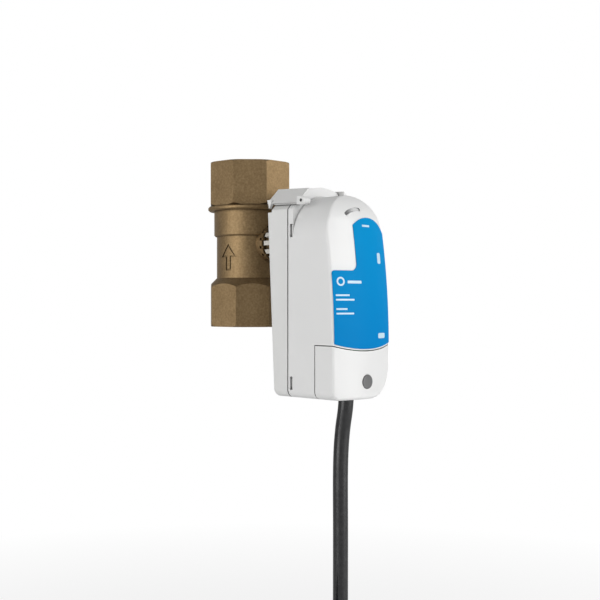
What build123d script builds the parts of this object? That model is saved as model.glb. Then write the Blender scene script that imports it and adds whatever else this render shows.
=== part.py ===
from build123d import *
import os
from math import acos, asin, cos, hypot, pi, radians, sin, sqrt, tan

# A motorised two-way ball valve: a brass ball valve on a vertical pipe axis, and an actuator that snaps
# onto its side neck. Millimetres, +Z up along the pipe axis. The origin is the middle of the inlet mouth.
# The stem axis runs along -Y, so a depth is a distance from the pipe axis towards -Y, and a rise is a
# height above the stem axis.

# Valve body and end connector
end_flats = 31.0
end_side_count = 8
inlet_end_turn = 6.1
outlet_end_turn = 2.7
inlet_end_length = 17.9
outlet_end_length = 17.4
end_chamfer = 0.7
port_radius = 12.06
port_depth = 16.0
port_web = 6.5
passage_radius = 6.6
flange_radius = 16.7
flange_thickness = 1.8
collar_step = 1.05
collar_drop = 9.6
barrel_radius = 13.25
inlet_cone_rise = 2.6
edge_round = 0.5
chamber_gap = 0.7
spigot_wall = 1.2
spigot_clearance = 0.5
fit_gap = 0.03
running_gap = 0.06

# Ball, seats and seals
ball_radius = 10.3
ball_bore_radius = 6.5
seat_inner_radius = 6.8
seat_recess = 0.3
seat_length = 4.8
seal_section_radius = 0.55
seal_offset = 2.1

# Stem, neck and what seals them
tang_thickness = 3.0
tang_width = 7.0
tang_engagement = 2.0
tang_end_gap = 0.4
stem_head_radius = 4.6
stem_head_gap = 0.4
stem_head_thickness = 1.6
washer_thickness = 0.6
stem_radius = 3.5
stem_groove_radius = 2.5
stem_groove_width = 1.3
stem_groove_offset = 3.3
stem_groove_step = 3.2
stem_groove_count = 2
stem_square = 4.4
stem_square_length = 3.6
neck_flange_radius = 7.2
neck_flange_reach = 1.35
neck_radius = 5.2
neck_length = 18.05
neck_notch_count = 14
neck_notch_radius = 0.6
arrow_drop = 5.2
arrow_length = 10.4
arrow_width = 7.6
arrow_shaft_width = 2.6
arrow_line = 0.6
arrow_cut = 0.4
arrow_turn = 8.0
clip_groove_radius = 4.3
clip_groove_setback = 1.7
clip_groove_width = 1.0

# Actuator case
case_width = 30.2
case_foot_gap = 5.6
case_wall = 1.7
rear_case_depth = 11.0
front_case_depth = 25.5
seam_gap = 0.5
left_corner_radius = 3.0
right_corner_radius = 12.5
vault_centre_rise = 1.2
neck_reach = 5.2
rear_lean = 2.95
rear_edge_round = 1.6
rim_width = 2.8
shoulder_rise = 11.4
crown_step = 6.1
crown_foot_step = 0.8
crown_height = 1.7
front_bulge = 2.8
front_lean_radius = 290.0
front_lean_start_drop = 39.0
front_dome_radius = 16.0
front_dome_start_rise = 6.0
front_edge_round = 1.1
cover_reach = 11.9
cover_height = 17.6
cover_sag = 2.0
cover_gap = 0.35
finger_notch_rise = 10.6
finger_notch_depth = 3.0
hook_width = 4.8
hook_thickness = 1.2
hook_root = 2.6
hook_slot_setback = 1.1
hook_slot_width = 1.4
upper_hook_rise = 3.4
left_hook_height = 5.3
right_hook_height = 16.9
hook_gap = 0.15
boss_radius = 1.9
overrun = 5.0

# Snap collar and its clip
tooth_ring_inner = 5.3
tooth_ring_outer = 6.6
tooth_gap = 0.5
tooth_length = 3.0
tooth_count = 12
tooth_slot_width = 1.7
collar_flange_radius = 8.6
collar_flange_thickness = 0.8
collar_flange_gap = 0.25
clip_width = 14.4
clip_thickness = 0.7
clip_rise = 8.2
clip_drop = 6.6

# Indicator slot, window and pointer
slot_radius = 10.9
slot_width = 1.3
slot_start_angle = 84.0
slot_end_angle = 124.0
window_recess = 0.5
window_thickness = 0.9
pointer_setback = 9.2
pointer_thickness = 1.2
pointer_hub_radius = 3.4
pointer_width = 2.6
pointer_margin_angle = 7.0
dial_margin = 0.25
dial_thickness = 0.6
valve_travel_angle = 90.0

# Label panel
label_thickness = 0.3
label_side_inset = 0.45
label_step_rise = -11.5
label_step_x = -4.0
label_left_rise = 5.0
label_peak_x = 4.2
label_peak_rise = 8.0
label_right_rise = 2.6
label_corner_round = 1.1
label_inner_round = 2.6
label_foot_gap = 0.5

# Release lever, drawn level and then tipped up at the back
lever_pivot_reach = 4.2
lever_pivot_step = 0.8
lever_tip = 2.0
lever_back_gap = 0.2
lever_ear_reach = 1.8
lever_side_overhang = 0.25
lever_foot_step = 2.0
lever_top_inset = 0.65
lever_thickness = 1.25
lever_ear_radius = 1.5
lever_ear_thickness = 1.3
lever_tab_drop = 2.0
lever_tab_length = 2.3
lever_gap = 0.3
lever_pin_radius = 0.6
lug_thickness = 2.5
lug_radius = 1.2

# Push button and its switch
button_height = 6.3
button_radius = 2.5
button_proud = 0.35
button_gap = 0.12
button_head = 2.6
button_flange_radius = 3.3
button_flange = 0.7
button_stem_radius = 1.1
button_travel = 1.0

# Gear train: the stages lie behind each other along -Y, with all their axes under the stem axis
gear_module = 0.6
pressure_angle = 25.0
addendum_share = 0.92
dedendum_share = 1.25
backlash = 0.12
flank_steps = 3
output_teeth = 32
wheel_teeth = 30
pinion_teeth = 12
plate_gap = 0.45
layer_gap = 0.5
gear_width = 2.0
gear_hub_radius = 2.3
gear_pin_radius = 1.0
output_hub_radius = 4.3
output_neck_radius = 3.3
socket_radius = 3.7
output_shaft_radius = 2.4
cam_gap = 1.2
cam_thickness = 2.0
cam_radius = 3.6
cam_lobe_radius = 4.9

# Gear frame
rear_plate_gap = 0.55
plate_thickness = 1.0
front_plate_gap = 0.9
plate_inset = 0.5
plate_top_rise = 10.4
front_plate_margin = 4.6
pillar_radius = 1.3
frame_screw_radius = 0.65
frame_screw_reach = 2.65
screw_head_radius = 1.25
screw_head_height = 0.9
upper_pillar_inset = 5.5
upper_pillar_rise = 7.6
lower_pillar_inset = 4.2
lower_pillar_drop = 18.5

# Motor
motor_radius = 10.0
motor_gap = 1.1
motor_length = 9.2
motor_offset = 3.7
motor_shaft_radius = 0.9
motor_ear_inset = 0.4
motor_ear_rise = 8.6
motor_ear_radius = 2.0
motor_ear_thickness = 1.0

# Limit switches
switch_side_inset = 5.85
switch_width = 4.4
switch_height = 10.0
switch_depth = 4.2
switch_arm_thickness = 0.3
switch_arm_gap = 0.25

# Circuit board and what it carries
board_gap = 1.8
board_thickness = 1.6
board_side_gap = 0.5
board_top_drop = 8.2
board_foot_gap = 1.4
board_screw_inset = 4.5
board_screw_drop = 12.0
board_screw_margin = 8.2
board_screw_length = 2.85
tact_size = 6.0
tact_height = 3.4
tact_plunger_radius = 1.6
tact_plunger_height = 0.5
terminal_width = 15.2
terminal_height_over_button = 7.6
terminal_height = 7.6
terminal_depth = 8.0
terminal_pitch = 5.0
terminal_screw_radius = 1.5
terminal_hole_radius = 1.0
terminal_hole_share = 0.67
relay_width = 8.6
relay_height = 15.0
relay_depth = 7.6
relay_x = -6.6
relay_drop = 24.6
capacitor_radius = 3.6
capacitor_length = 8.0
capacitor_x = 3.4
capacitor_drop = 15.0
chip_size = 6.6
chip_height = 1.1
chip_x = 4.0
chip_drop = 26.0
radio_width = 11.0
radio_height = 6.0
radio_depth = 2.2
radio_x = 2.0
radio_margin = 8.3

# Cable
cable_radius = 2.8
core_radius = 0.65
core_spread = 1.3
core_gap = 0.3
core_bend_radius = 1.0
tail_bend_radius = 3.9
swing_share = 0.9
bend_share = 0.45
first_turn_share = 0.13
grommet_radius = 3.9
grommet_flange_radius = 4.8
grommet_flange = 0.9
coil_outer_radius = 37.2
coil_pitch = 6.1
coil_turns_in = 2.25
coil_turns_out = 1.75
coil_climb_turns = 0.5
tie_gap = 0.2
tie_thickness = 0.9
tie_width = 3.0
tie_head_length = 4.2
tie_head_height = 2.4
tail_length = 30.0
tail_spread = 3.9
ferrule_radius = 0.95
ferrule_length = 8.0

# The cable's route, chosen by hand: straight out, a slight lean back, and straight down to its coil
cable_route = [
    (0.0, -52.3, -23.0),
    (0.0, -52.3, -28.0),
    (0.1, -50.2, -37.5),
    (-0.1, -49.4, -50.0),
    (0.2, -49.3, -75.0),
    (-0.1, -49.5, -97.0),
    (0.0, -49.4, -116.0),
    (0.0, -49.4, -127.4),
]

# Worked out from the sizes above: the valve
seat_outer_rise = ball_radius - seat_recess
seat_inner_rise = seat_outer_rise - seat_length
stem_height = port_depth + port_web + seat_outer_rise
body_length = 2 * stem_height
chamber_radius = ball_radius + chamber_gap
spigot_radius = chamber_radius + spigot_wall
collar_radius = barrel_radius + collar_step
seal_rise = seat_outer_rise + seal_offset
tang_depth_start = ball_radius - tang_engagement
slot_depth_start = tang_depth_start - tang_end_gap
stem_head_start = ball_radius + stem_head_gap
stem_head_end = stem_head_start + stem_head_thickness
first_groove_depth = stem_head_end + washer_thickness + stem_groove_offset
stem_groove_depths = [first_groove_depth + i * stem_groove_step for i in range(stem_groove_count)]
neck_flange_end = barrel_radius + neck_flange_reach
neck_end = barrel_radius + neck_length
clip_groove_start = neck_end - clip_groove_setback
clip_groove_end = clip_groove_start + clip_groove_width
collar_foot = body_length - outlet_end_length - flange_thickness - collar_drop
collar_top = collar_foot + collar_drop
output_top = collar_top + flange_thickness
tooth_ring_start = neck_flange_end + tooth_gap
collar_flange_end = clip_groove_start - collar_flange_gap
collar_flange_start = collar_flange_end - collar_flange_thickness

# Depths through the actuator
rear_depth = neck_end - neck_reach
seam_depth = rear_depth + rear_case_depth
rim_depth_end = seam_depth + rim_width
front_depth = seam_depth + front_case_depth
cover_depth_start = front_depth - cover_reach
hook_start = seam_depth - hook_root
hook_slot_start = seam_depth + hook_slot_setback
hook_slot_end = hook_slot_start + hook_slot_width
lever_pivot_depth = rim_depth_end + lever_pivot_reach
lever_front_depth = lever_pivot_depth - lever_ear_reach
lever_back_depth = rear_depth + lever_back_gap
rear_plate_start = neck_end + rear_plate_gap
rear_plate_end = rear_plate_start + plate_thickness
frame_screw_end = rear_plate_start - frame_screw_reach
layer_a_start = rear_plate_end + plate_gap
layer_b_start = layer_a_start + gear_width + layer_gap
layer_c_start = layer_b_start + gear_width + layer_gap
front_plate_start = layer_c_start + gear_width + front_plate_gap
front_plate_end = front_plate_start + plate_thickness
cam_start = front_plate_end + cam_gap
cam_end = cam_start + cam_thickness
motor_start = layer_a_start + gear_width + motor_gap
motor_end = motor_start + motor_length
board_start = motor_end + board_gap
board_end = board_start + board_thickness
pointer_start = front_depth - pointer_setback
pointer_end = pointer_start + pointer_thickness
dial_end = pointer_start + dial_thickness
dial_radius = slot_radius + slot_width / 2 + dial_margin
terminal_hole_depth = board_end + fit_gap + terminal_depth * terminal_hole_share
cable_depth = -cable_route[0][1]

# Drops and rises from the stem axis, and widths
half_width = case_width / 2
front_radius = (half_width ** 2 + front_bulge ** 2) / (2 * front_bulge)
output_pitch_radius = gear_module * output_teeth / 2
wheel_pitch_radius = gear_module * wheel_teeth / 2
pinion_pitch_radius = gear_module * pinion_teeth / 2
idler_two_drop = output_pitch_radius + pinion_pitch_radius
idler_one_drop = idler_two_drop + wheel_pitch_radius + pinion_pitch_radius
motor_pinion_drop = idler_one_drop + wheel_pitch_radius + pinion_pitch_radius
motor_drop = motor_pinion_drop + motor_offset
front_plate_drop = idler_one_drop + front_plate_margin
case_bottom_drop = motor_drop + motor_radius + case_foot_gap
case_bottom = stem_height - case_bottom_drop
cover_middle_drop = case_bottom_drop - cover_height
cover_side_drop = cover_middle_drop - cover_sag
left_hook_rises = (upper_hook_rise, left_hook_height - case_bottom_drop)
right_hook_rises = (upper_hook_rise, right_hook_height - case_bottom_drop)
button_drop = case_bottom_drop - button_height
terminal_drop = button_drop - terminal_height_over_button
terminal_foot_drop = terminal_drop + terminal_height / 2
radio_drop = terminal_drop - radio_margin
board_bottom_drop = case_bottom_drop - case_wall - board_foot_gap
board_half_width = half_width - case_wall - board_side_gap
board_screw_x = half_width - board_screw_inset
board_screw_drops = (board_screw_drop, terminal_drop - board_screw_margin)
upper_pillar_x = half_width - upper_pillar_inset
lower_pillar_x = half_width - lower_pillar_inset
motor_ear_x = motor_radius - motor_ear_inset
switch_x = half_width - switch_side_inset
crown_half_width = half_width - crown_step
crown_foot_rise = shoulder_rise + crown_step + crown_foot_step
crown_rise = crown_foot_rise + crown_height
lever_foot_rise = shoulder_rise + lever_foot_step
lever_pivot_rise = lever_foot_rise + lever_pivot_step
lever_facet = crown_step + lever_side_overhang - lever_top_inset


def at_depth(depth, x=0.0, rise=0.0):
    """The plane across the stem axis at a depth, facing -Y, centred at x and a rise."""
    return Plane(origin=(x, -depth, stem_height + rise), x_dir=(1, 0, 0), z_dir=(0, -1, 0))


def rod(radius, start, end, x=0.0, rise=0.0):
    """A cylinder along -Y from one depth to another."""
    return extrude(at_depth(start, x, rise) * Circle(radius), end - start)


def block(width, height, start, end, x=0.0, rise=0.0):
    """A box from one depth to another, centred at x and a rise."""
    return extrude(at_depth(start, x, rise) * Rectangle(width, height), end - start)


def drum(radius, low, high, x=0.0, y=0.0):
    """A cylinder along Z from one height to another."""
    return extrude(Plane(origin=(x, y, low)) * Circle(radius), high - low)


def turned(points):
    """A solid turned about the pipe axis from an outline of (radius, height) points."""
    outline = Polyline(*[(r, 0, z) for r, z in points], close=True)
    return revolve(make_face(outline), Axis.Z, 360)


# Valve body and end connector
def octagon(length, low, turn):
    """An octagonal wrench end."""
    corner_turn = turn + 180 / end_side_count
    across = RegularPolygon(end_flats / 2, end_side_count, major_radius=False, rotation=corner_turn)
    return extrude(Plane(origin=(0, 0, low)) * across, length)


def valve_body():
    corner = end_flats / 2 / cos(pi / end_side_count)
    cone_top = inlet_end_length + inlet_cone_rise / 2
    limit = turned([
        (0, 0), (corner - end_chamfer, 0), (corner, end_chamfer),
        (corner, cone_top - (corner - barrel_radius)), (barrel_radius, cone_top), (0, cone_top),
    ])
    body = octagon(cone_top, 0, inlet_end_turn) & limit
    body += turned([
        (0, inlet_end_length), (barrel_radius, inlet_end_length), (barrel_radius, collar_foot - edge_round),
        (collar_radius - edge_round, collar_foot - edge_round), (collar_radius, collar_foot),
        (collar_radius, collar_top), (0, collar_top),
    ])
    body += rod(neck_flange_radius, 0, neck_flange_end)
    body += rod(neck_radius, 0, neck_end)
    body -= drum(port_radius, -overrun, port_depth)
    body -= drum(passage_radius, 0, stem_height)
    body -= drum(chamber_radius, stem_height - seat_outer_rise, collar_top + overrun)
    body -= drum(spigot_radius + fit_gap, collar_foot, collar_top + overrun)
    body -= rod(stem_radius + running_gap, 0, neck_end + overrun)
    body -= rod(stem_head_radius + running_gap, 0, stem_head_end + washer_thickness)
    body -= rod(neck_radius + overrun, clip_groove_start, clip_groove_end) - rod(
        clip_groove_radius, clip_groove_start, clip_groove_end
    )
    notch = rod(neck_notch_radius, barrel_radius, neck_flange_end + overrun)
    for i in range(neck_notch_count):
        angle = 2 * pi * (i + 1 / 2) / neck_notch_count
        body -= Pos(neck_flange_radius * cos(angle), 0, neck_flange_radius * sin(angle)) * notch
    return body - flow_arrow()


def flow_arrow():
    """The groove around a plain arrow on the barrel, pointing from the inlet to the outlet."""
    half, shaft, tip = arrow_length / 2, arrow_shaft_width / 2, arrow_width / 2
    outline = make_face(Polyline((-shaft, -half), (shaft, -half), (shaft, 0), (tip, 0), (0, half), (-tip, 0),
                                 (-shaft, 0), close=True))
    outline -= offset(outline, -arrow_line, kind=Kind.INTERSECTION)
    plane = Plane(origin=(0, 0, stem_height - arrow_drop), x_dir=(0, -1, 0), z_dir=(-1, 0, 0))
    groove = extrude(plane * outline, barrel_radius + overrun)
    return Rot(0, 0, arrow_turn) * (groove - drum(barrel_radius - arrow_cut, 0, collar_foot))


def end_connector():
    corner = end_flats / 2 / cos(pi / end_side_count)
    limit = turned([
        (0, output_top), (flange_radius - flange_thickness / 2, output_top),
        (corner, output_top + flange_thickness / 2), (corner, body_length - end_chamfer),
        (corner - end_chamfer, body_length), (0, body_length),
    ])
    piece = octagon(body_length - output_top, output_top, outlet_end_turn) & limit
    piece += turned([
        (0, collar_top), (flange_radius - edge_round, collar_top), (flange_radius, collar_top + edge_round),
        (flange_radius, output_top - edge_round), (flange_radius - edge_round, output_top), (0, output_top),
    ])
    piece += drum(spigot_radius, stem_height + stem_head_radius + spigot_clearance, collar_top)
    piece -= drum(port_radius, body_length - port_depth, body_length + overrun)
    piece -= drum(passage_radius, stem_height, body_length)
    piece -= drum(spigot_radius - spigot_wall, stem_height, stem_height + seat_outer_rise)
    groove_half = seal_section_radius + fit_gap
    groove = drum(spigot_radius + overrun, stem_height + seal_rise - groove_half,
                  stem_height + seal_rise + groove_half)
    piece -= groove - drum(spigot_radius - 2 * groove_half, 0, body_length)
    return piece


def connector_seal():
    section = Plane(origin=(spigot_radius - seal_section_radius - fit_gap, 0, stem_height + seal_rise),
                    x_dir=(1, 0, 0), z_dir=(0, -1, 0)) * Circle(seal_section_radius)
    return revolve(section, Axis.Z, 360)


def ball_seat(side):
    """A seat ring below the ball for side -1 and above it for side +1."""
    outer = spigot_radius - spigot_wall - fit_gap
    near, far = stem_height + side * seat_inner_rise, stem_height + side * (seat_outer_rise - fit_gap)
    ring = drum(outer, min(near, far), max(near, far)) - drum(seat_inner_radius, 0, body_length)
    return ring - Pos(0, 0, stem_height) * Sphere(ball_radius + fit_gap)


def ball():
    sphere = Pos(0, 0, stem_height) * Sphere(ball_radius)
    sphere -= drum(ball_bore_radius, 0, body_length)
    width, height = tang_width + 2 * running_gap, tang_thickness + 2 * running_gap
    return sphere - block(width, height, slot_depth_start, ball_radius + overrun)


def stem():
    piece = block(tang_width, tang_thickness, tang_depth_start, stem_head_start)
    piece += rod(stem_head_radius, stem_head_start, stem_head_end)
    piece += rod(stem_radius, stem_head_end, neck_end)
    piece += block(stem_square, stem_square, neck_end, neck_end + stem_square_length)
    for depth in stem_groove_depths:
        groove = rod(stem_radius + overrun, depth, depth + stem_groove_width)
        piece -= groove - rod(stem_groove_radius, depth, depth + stem_groove_width)
    return piece


def stem_o_rings():
    section_radius = (stem_radius - stem_groove_radius) / 2
    rings = []
    for depth in stem_groove_depths:
        centre = depth + stem_groove_width / 2
        section = Plane(origin=(stem_groove_radius + section_radius, -centre, stem_height)) * Circle(
            section_radius - fit_gap / 2)
        rings.append(revolve(section, Axis((0, 0, stem_height), (0, 1, 0)), 360))
    return Compound(children=rings)


def stem_washer():
    start, end = stem_head_end + fit_gap, stem_head_end + washer_thickness - fit_gap
    return rod(stem_head_radius, start, end) - rod(stem_radius + running_gap, 0, end + overrun)


# Outlines of the actuator case, drawn in (x, rise)
def lower_edges(inset, top_left, top_right):
    """The sides, the two unlike bottom corners and the bottom, open between the two tops."""
    side = half_width - inset
    bottom = -case_bottom_drop + inset
    left, right = max(left_corner_radius - inset, edge_round), max(right_corner_radius - inset, edge_round)
    return (
        Line((-side, top_left), (-side, bottom + left))
        + RadiusArc((-side, bottom + left), (-side + left, bottom), -left)
        + Line((-side + left, bottom), (side - right, bottom))
        + RadiusArc((side - right, bottom), (side, bottom + right), -right)
        + Line((side, bottom + right), (side, top_right))
    )


def vault_outline(inset):
    """The front case's outline, round at the top."""
    side = half_width - inset
    edges = lower_edges(inset, vault_centre_rise, vault_centre_rise)
    top = vault_centre_rise + side
    edges += ThreePointArc((side, vault_centre_rise), (0, top), (-side, vault_centre_rise))
    return make_face(edges)


def rear_outline(inset):
    """The rear case's outline: two bevels and a flat top that carry the lever."""
    side = half_width - inset
    bevel_inset = inset * (sqrt(2) - 1)
    shoulder = shoulder_rise - bevel_inset
    top = shoulder_rise + half_width - crown_half_width - inset
    crown = side - (top - shoulder)
    edges = lower_edges(inset, shoulder, shoulder)
    edges += Polyline((side, shoulder), (crown, top), (-crown, top), (-side, shoulder))
    return make_face(edges)


def rim_outline(inset):
    """The front case's rear rim: the rear outline with an arched crown between the lever's arms."""
    crown = crown_half_width - inset
    foot = shoulder_rise + half_width - crown_half_width
    spring = crown_foot_rise - inset
    crown_face = make_face(
        ThreePointArc((-crown, spring), (0, crown_rise - inset), (crown, spring))
        + Polyline((crown, spring), (crown, foot - case_wall), (-crown, foot - case_wall), (-crown, spring))
    )
    return rear_outline(inset) + crown_face


def case_prism(outline, start, end):
    """An outline in (x, rise) run from one depth to another."""
    return extrude(at_depth(start) * outline, end - start)


def front_form(inset):
    """All that lies behind the bulged front face, moved in by an inset."""
    axis_depth = front_depth - front_radius
    reach = front_radius - inset
    low = -case_bottom_drop - overrun
    bend = -front_lean_start_drop
    lean_centre = (front_radius - front_lean_radius, bend)
    lean_turn = asin((front_dome_start_rise - bend) / front_lean_radius)
    dome_centre = (
        lean_centre[0] + (front_lean_radius - front_dome_radius) * cos(lean_turn),
        lean_centre[1] + (front_lean_radius - front_dome_radius) * sin(lean_turn),
    )

    def arc_point(centre, radius, turn):
        return centre[0] + (radius - inset) * cos(turn), centre[1] + (radius - inset) * sin(turn)

    start, middle, join = [
        arc_point(lean_centre, front_lean_radius, turn) for turn in (0, lean_turn / 2, lean_turn)
    ]
    dome_middle = arc_point(dome_centre, front_dome_radius, (lean_turn + pi / 2) / 2)
    dome_top = arc_point(dome_centre, front_dome_radius, pi / 2)
    outline = (
        Line((0, low), (reach, low)) + Line((reach, low), start)
        + ThreePointArc(start, middle, join) + ThreePointArc(join, dome_middle, dome_top)
        + Line(dome_top, (0, dome_top[1])) + Line((0, dome_top[1]), (0, low))
    )
    section = at_depth(axis_depth) * make_face(outline)
    return revolve(section, Axis((0, -axis_depth, 0), (0, 0, 1)), 360)


def cover_zone(gap):
    """The space of the terminal cover, taken in by a gap, under a smiling top edge."""
    side = half_width + overrun
    sag = cover_middle_drop - cover_side_drop
    radius = (half_width ** 2 + sag ** 2) / (2 * sag)
    edge_drop = cover_middle_drop - radius + sqrt(radius ** 2 - side ** 2)
    low = -case_bottom_drop - overrun
    edges = ThreePointArc((-side, -edge_drop - gap), (0, -cover_middle_drop - gap), (side, -edge_drop - gap))
    edges += Polyline((side, -edge_drop - gap), (side, low), (-side, low), (-side, -edge_drop - gap))
    return case_prism(make_face(edges), cover_depth_start + gap, front_depth + overrun)


def rear_solid(inset):
    """The rear case's bulk behind the seam, with its leaning back."""
    slope = tan(radians(rear_lean))
    low, high = -case_bottom_drop - overrun, crown_rise + overrun
    back = rear_depth + inset / cos(radians(rear_lean))
    profile = Polyline(
        (back - low * slope, low), (seam_depth + overrun, low), (seam_depth + overrun, high),
        (back - high * slope, high), close=True,
    )
    side_plane = Plane(origin=(half_width, 0, stem_height), x_dir=(0, -1, 0), z_dir=(-1, 0, 0))
    bulk = extrude(side_plane * make_face(profile), case_width)
    return bulk & case_prism(rear_outline(inset), 0, seam_depth - seam_gap / 2)


def hooks():
    """The four snap hooks as (x side, rise) pairs."""
    return [(-1, rise) for rise in left_hook_rises] + [(1, rise) for rise in right_hook_rises]


def pillar_places():
    """The four gear frame pillars as (x, rise)."""
    return [(side * x, rise) for side in (-1, 1)
            for x, rise in ((upper_pillar_x, upper_pillar_rise), (lower_pillar_x, -lower_pillar_drop))]


def rear_housing():
    outer = rear_solid(0)
    back_edges = outer.faces().sort_by(Axis.Y)[-1].edges()
    outer = fillet(back_edges, rear_edge_round)
    notch_high = crown_rise + overrun
    outer -= block(case_width + overrun, notch_high - finger_notch_rise, 0,
                   rear_depth + finger_notch_depth - finger_notch_rise * tan(radians(rear_lean)),
                   rise=(notch_high + finger_notch_rise) / 2)
    roof = block(case_width, notch_high - finger_notch_rise + case_wall, 0,
                 rear_depth + finger_notch_depth + case_wall,
                 rise=(notch_high + finger_notch_rise - case_wall) / 2)
    shell = outer - (rear_solid(case_wall) - roof)
    shell -= rod(tooth_ring_outer + fit_gap, 0, seam_depth)
    for x, rise in pillar_places():
        inside = rod(boss_radius, rear_depth, rear_plate_start - fit_gap, x, rise) & outer
        shell += inside
        shell -= rod(frame_screw_radius, frame_screw_end - fit_gap, seam_depth, x, rise)
    for side, rise in hooks():
        hook_x = side * (half_width - case_wall - hook_thickness / 2)
        hook = block(hook_thickness, hook_width, hook_start, hook_slot_end - hook_gap, hook_x, rise)
        shell += hook & case_prism(vault_outline(case_wall + hook_gap), 0, front_depth)
        root_x = side * (half_width - case_wall)
        shell += block(case_wall, hook_width, hook_start, seam_depth - seam_gap, root_x, rise)
        shell += block(case_wall, hook_width - 2 * hook_gap, hook_slot_start + hook_gap,
                       hook_slot_end - hook_gap, root_x, rise)
    return shell


def arc_slot(width, start, end):
    """The indicator slot about the stem axis, from one depth to another."""
    path = CenterArc((0, 0), slot_radius, slot_start_angle, slot_end_angle - slot_start_angle)
    return case_prism(make_face(offset(path, width / 2)), start, end)


def lever_pivot_x():
    """The inner face of the lever's ears."""
    return half_width + lever_side_overhang - lever_ear_thickness


def front_housing():
    outer = case_prism(vault_outline(0), seam_depth + seam_gap / 2, front_depth + overrun) & front_form(0)
    front_edges = outer.edges().filter_by(
        lambda edge: edge.center().Y < -(cover_depth_start + front_edge_round)
        and not (abs(edge.center().X) < edge_round and edge.center().Z < stem_height))
    outer = fillet(front_edges, front_edge_round)
    outer += case_prism(rim_outline(0), seam_depth + seam_gap / 2, rim_depth_end)
    hollow = case_prism(vault_outline(case_wall), seam_depth, front_depth) & front_form(case_wall)
    shell = outer - hollow
    for x in (-board_screw_x, board_screw_x):
        for drop in board_screw_drops:
            boss = rod(boss_radius, board_end + fit_gap, front_depth, x, -drop) & front_form(case_wall / 2)
            shell += boss - rod(frame_screw_radius, 0, board_end + 2 * boss_radius, x, -drop)
    for side in (-1, 1):
        lug_x = side * (lever_pivot_x() - running_gap - lug_thickness / 2)
        lug = block(lug_thickness, 2 * lug_radius, rim_depth_end - case_wall / 2, lever_pivot_depth, lug_x,
                    lever_pivot_rise) & case_prism(rear_outline(0), 0, front_depth)
        ring = Plane(origin=(lug_x - lug_thickness / 2, -lever_pivot_depth, stem_height + lever_pivot_rise),
                     x_dir=(0, 1, 0), z_dir=(1, 0, 0))
        lug += extrude(ring * Circle(lug_radius), lug_thickness)
        shell += lug
        bore = Circle(lever_pin_radius + fit_gap)
        shell -= extrude(ring.offset(-fit_gap) * bore, lug_thickness + 2 * fit_gap)
    for side, rise in hooks():
        shell -= block(4 * case_wall, hook_width, hook_slot_start, hook_slot_end, side * half_width, rise)
    shell -= arc_slot(slot_width, pointer_end, front_depth + overrun)
    shell -= cover_zone(0)
    shell -= cable_hole()
    return shell


def cable_hole():
    """The grommet's hole through the bottom, and the room for its flange."""
    floor = case_bottom + case_wall
    hole = drum(grommet_radius + fit_gap, case_bottom - overrun, floor + overrun, 0, -cable_depth)
    return hole + drum(grommet_flange_radius + fit_gap, floor, floor + overrun, 0, -cable_depth)


def terminal_cover():
    outer = case_prism(vault_outline(0), cover_depth_start, front_depth + overrun) & front_form(0)
    front_edges = outer.edges().filter_by(
        lambda edge: edge.center().Y < -(cover_depth_start + front_edge_round)
        and not (abs(edge.center().X) < edge_round and edge.center().Z < stem_height))
    outer = fillet(front_edges, front_edge_round) & cover_zone(cover_gap)
    shell = outer - (case_prism(vault_outline(case_wall), 0, front_depth) & front_form(case_wall))
    shell -= cable_hole()
    shell -= rod(button_radius + button_gap, board_end, front_depth + overrun, 0, -button_drop)
    return shell


def housing_seal():
    inset = seam_gap
    ring = case_prism(rear_outline(inset), seam_depth - seam_gap / 2, seam_depth + seam_gap / 2)
    return ring - case_prism(vault_outline(case_wall), 0, front_depth) - case_prism(
        rear_outline(case_wall), 0, front_depth)


def label_outline():
    """The L-shaped panel: full width below a step, and an arch over the rest above it."""
    side = half_width - label_side_inset
    low_side, low_middle = label_foot_gap - cover_side_drop, label_foot_gap - cover_middle_drop
    corner, inner, step = label_corner_round, label_inner_round, label_step_rise
    edges = Line((-side, low_side), (-side, step - corner))
    edges += RadiusArc((-side, step - corner), (-side + corner, step), corner)
    edges += Line((-side + corner, step), (label_step_x - inner, step))
    edges += RadiusArc((label_step_x - inner, step), (label_step_x, step + inner), -inner)
    edges += Line((label_step_x, step + inner), (label_step_x, label_left_rise))
    edges += ThreePointArc((label_step_x, label_left_rise), (label_peak_x, label_peak_rise),
                           (side, label_right_rise))
    edges += Line((side, label_right_rise), (side, low_side))
    edges += ThreePointArc((side, low_side), (0, low_middle), (-side, low_side))
    return make_face(edges)


def label_panel():
    skin = front_form(-label_thickness) - front_form(0)
    return case_prism(label_outline(), cover_depth_start, front_depth + overrun) & skin


def indicator_window():
    slab = front_form(window_recess) - front_form(window_recess + window_thickness)
    return arc_slot(slot_width - 2 * fit_gap, pointer_end, front_depth + overrun) & slab


# Snap collar and clip
def snap_collar():
    collar = rod(tooth_ring_outer, tooth_ring_start, collar_flange_end)
    collar += rod(collar_flange_radius, collar_flange_start, collar_flange_end)
    collar -= rod(tooth_ring_inner, 0, seam_depth)
    slot_end = tooth_ring_start + tooth_length
    slot = block(tooth_slot_width, 2 * tooth_ring_outer + overrun, tooth_ring_start, slot_end)
    for i in range(tooth_count // 2):
        turn = Rot(0, 180 * (i + 1 / 2) / (tooth_count // 2), 0)
        collar -= Pos(0, 0, stem_height) * turn * Pos(0, 0, -stem_height) * slot
    return collar


def retaining_clip():
    middle = (clip_groove_start + clip_groove_end) / 2
    start, end = middle - clip_thickness / 2, middle + clip_thickness / 2
    height = clip_rise + clip_drop
    plate = block(clip_width, height, start, end, 0, (clip_rise - clip_drop) / 2)
    throat = clip_groove_radius + running_gap
    plate -= rod(throat, start - overrun, end + overrun)
    return plate - block(2 * throat, clip_drop + overrun, start - overrun, end + overrun,
                         0, -(clip_drop + overrun) / 2)


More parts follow.
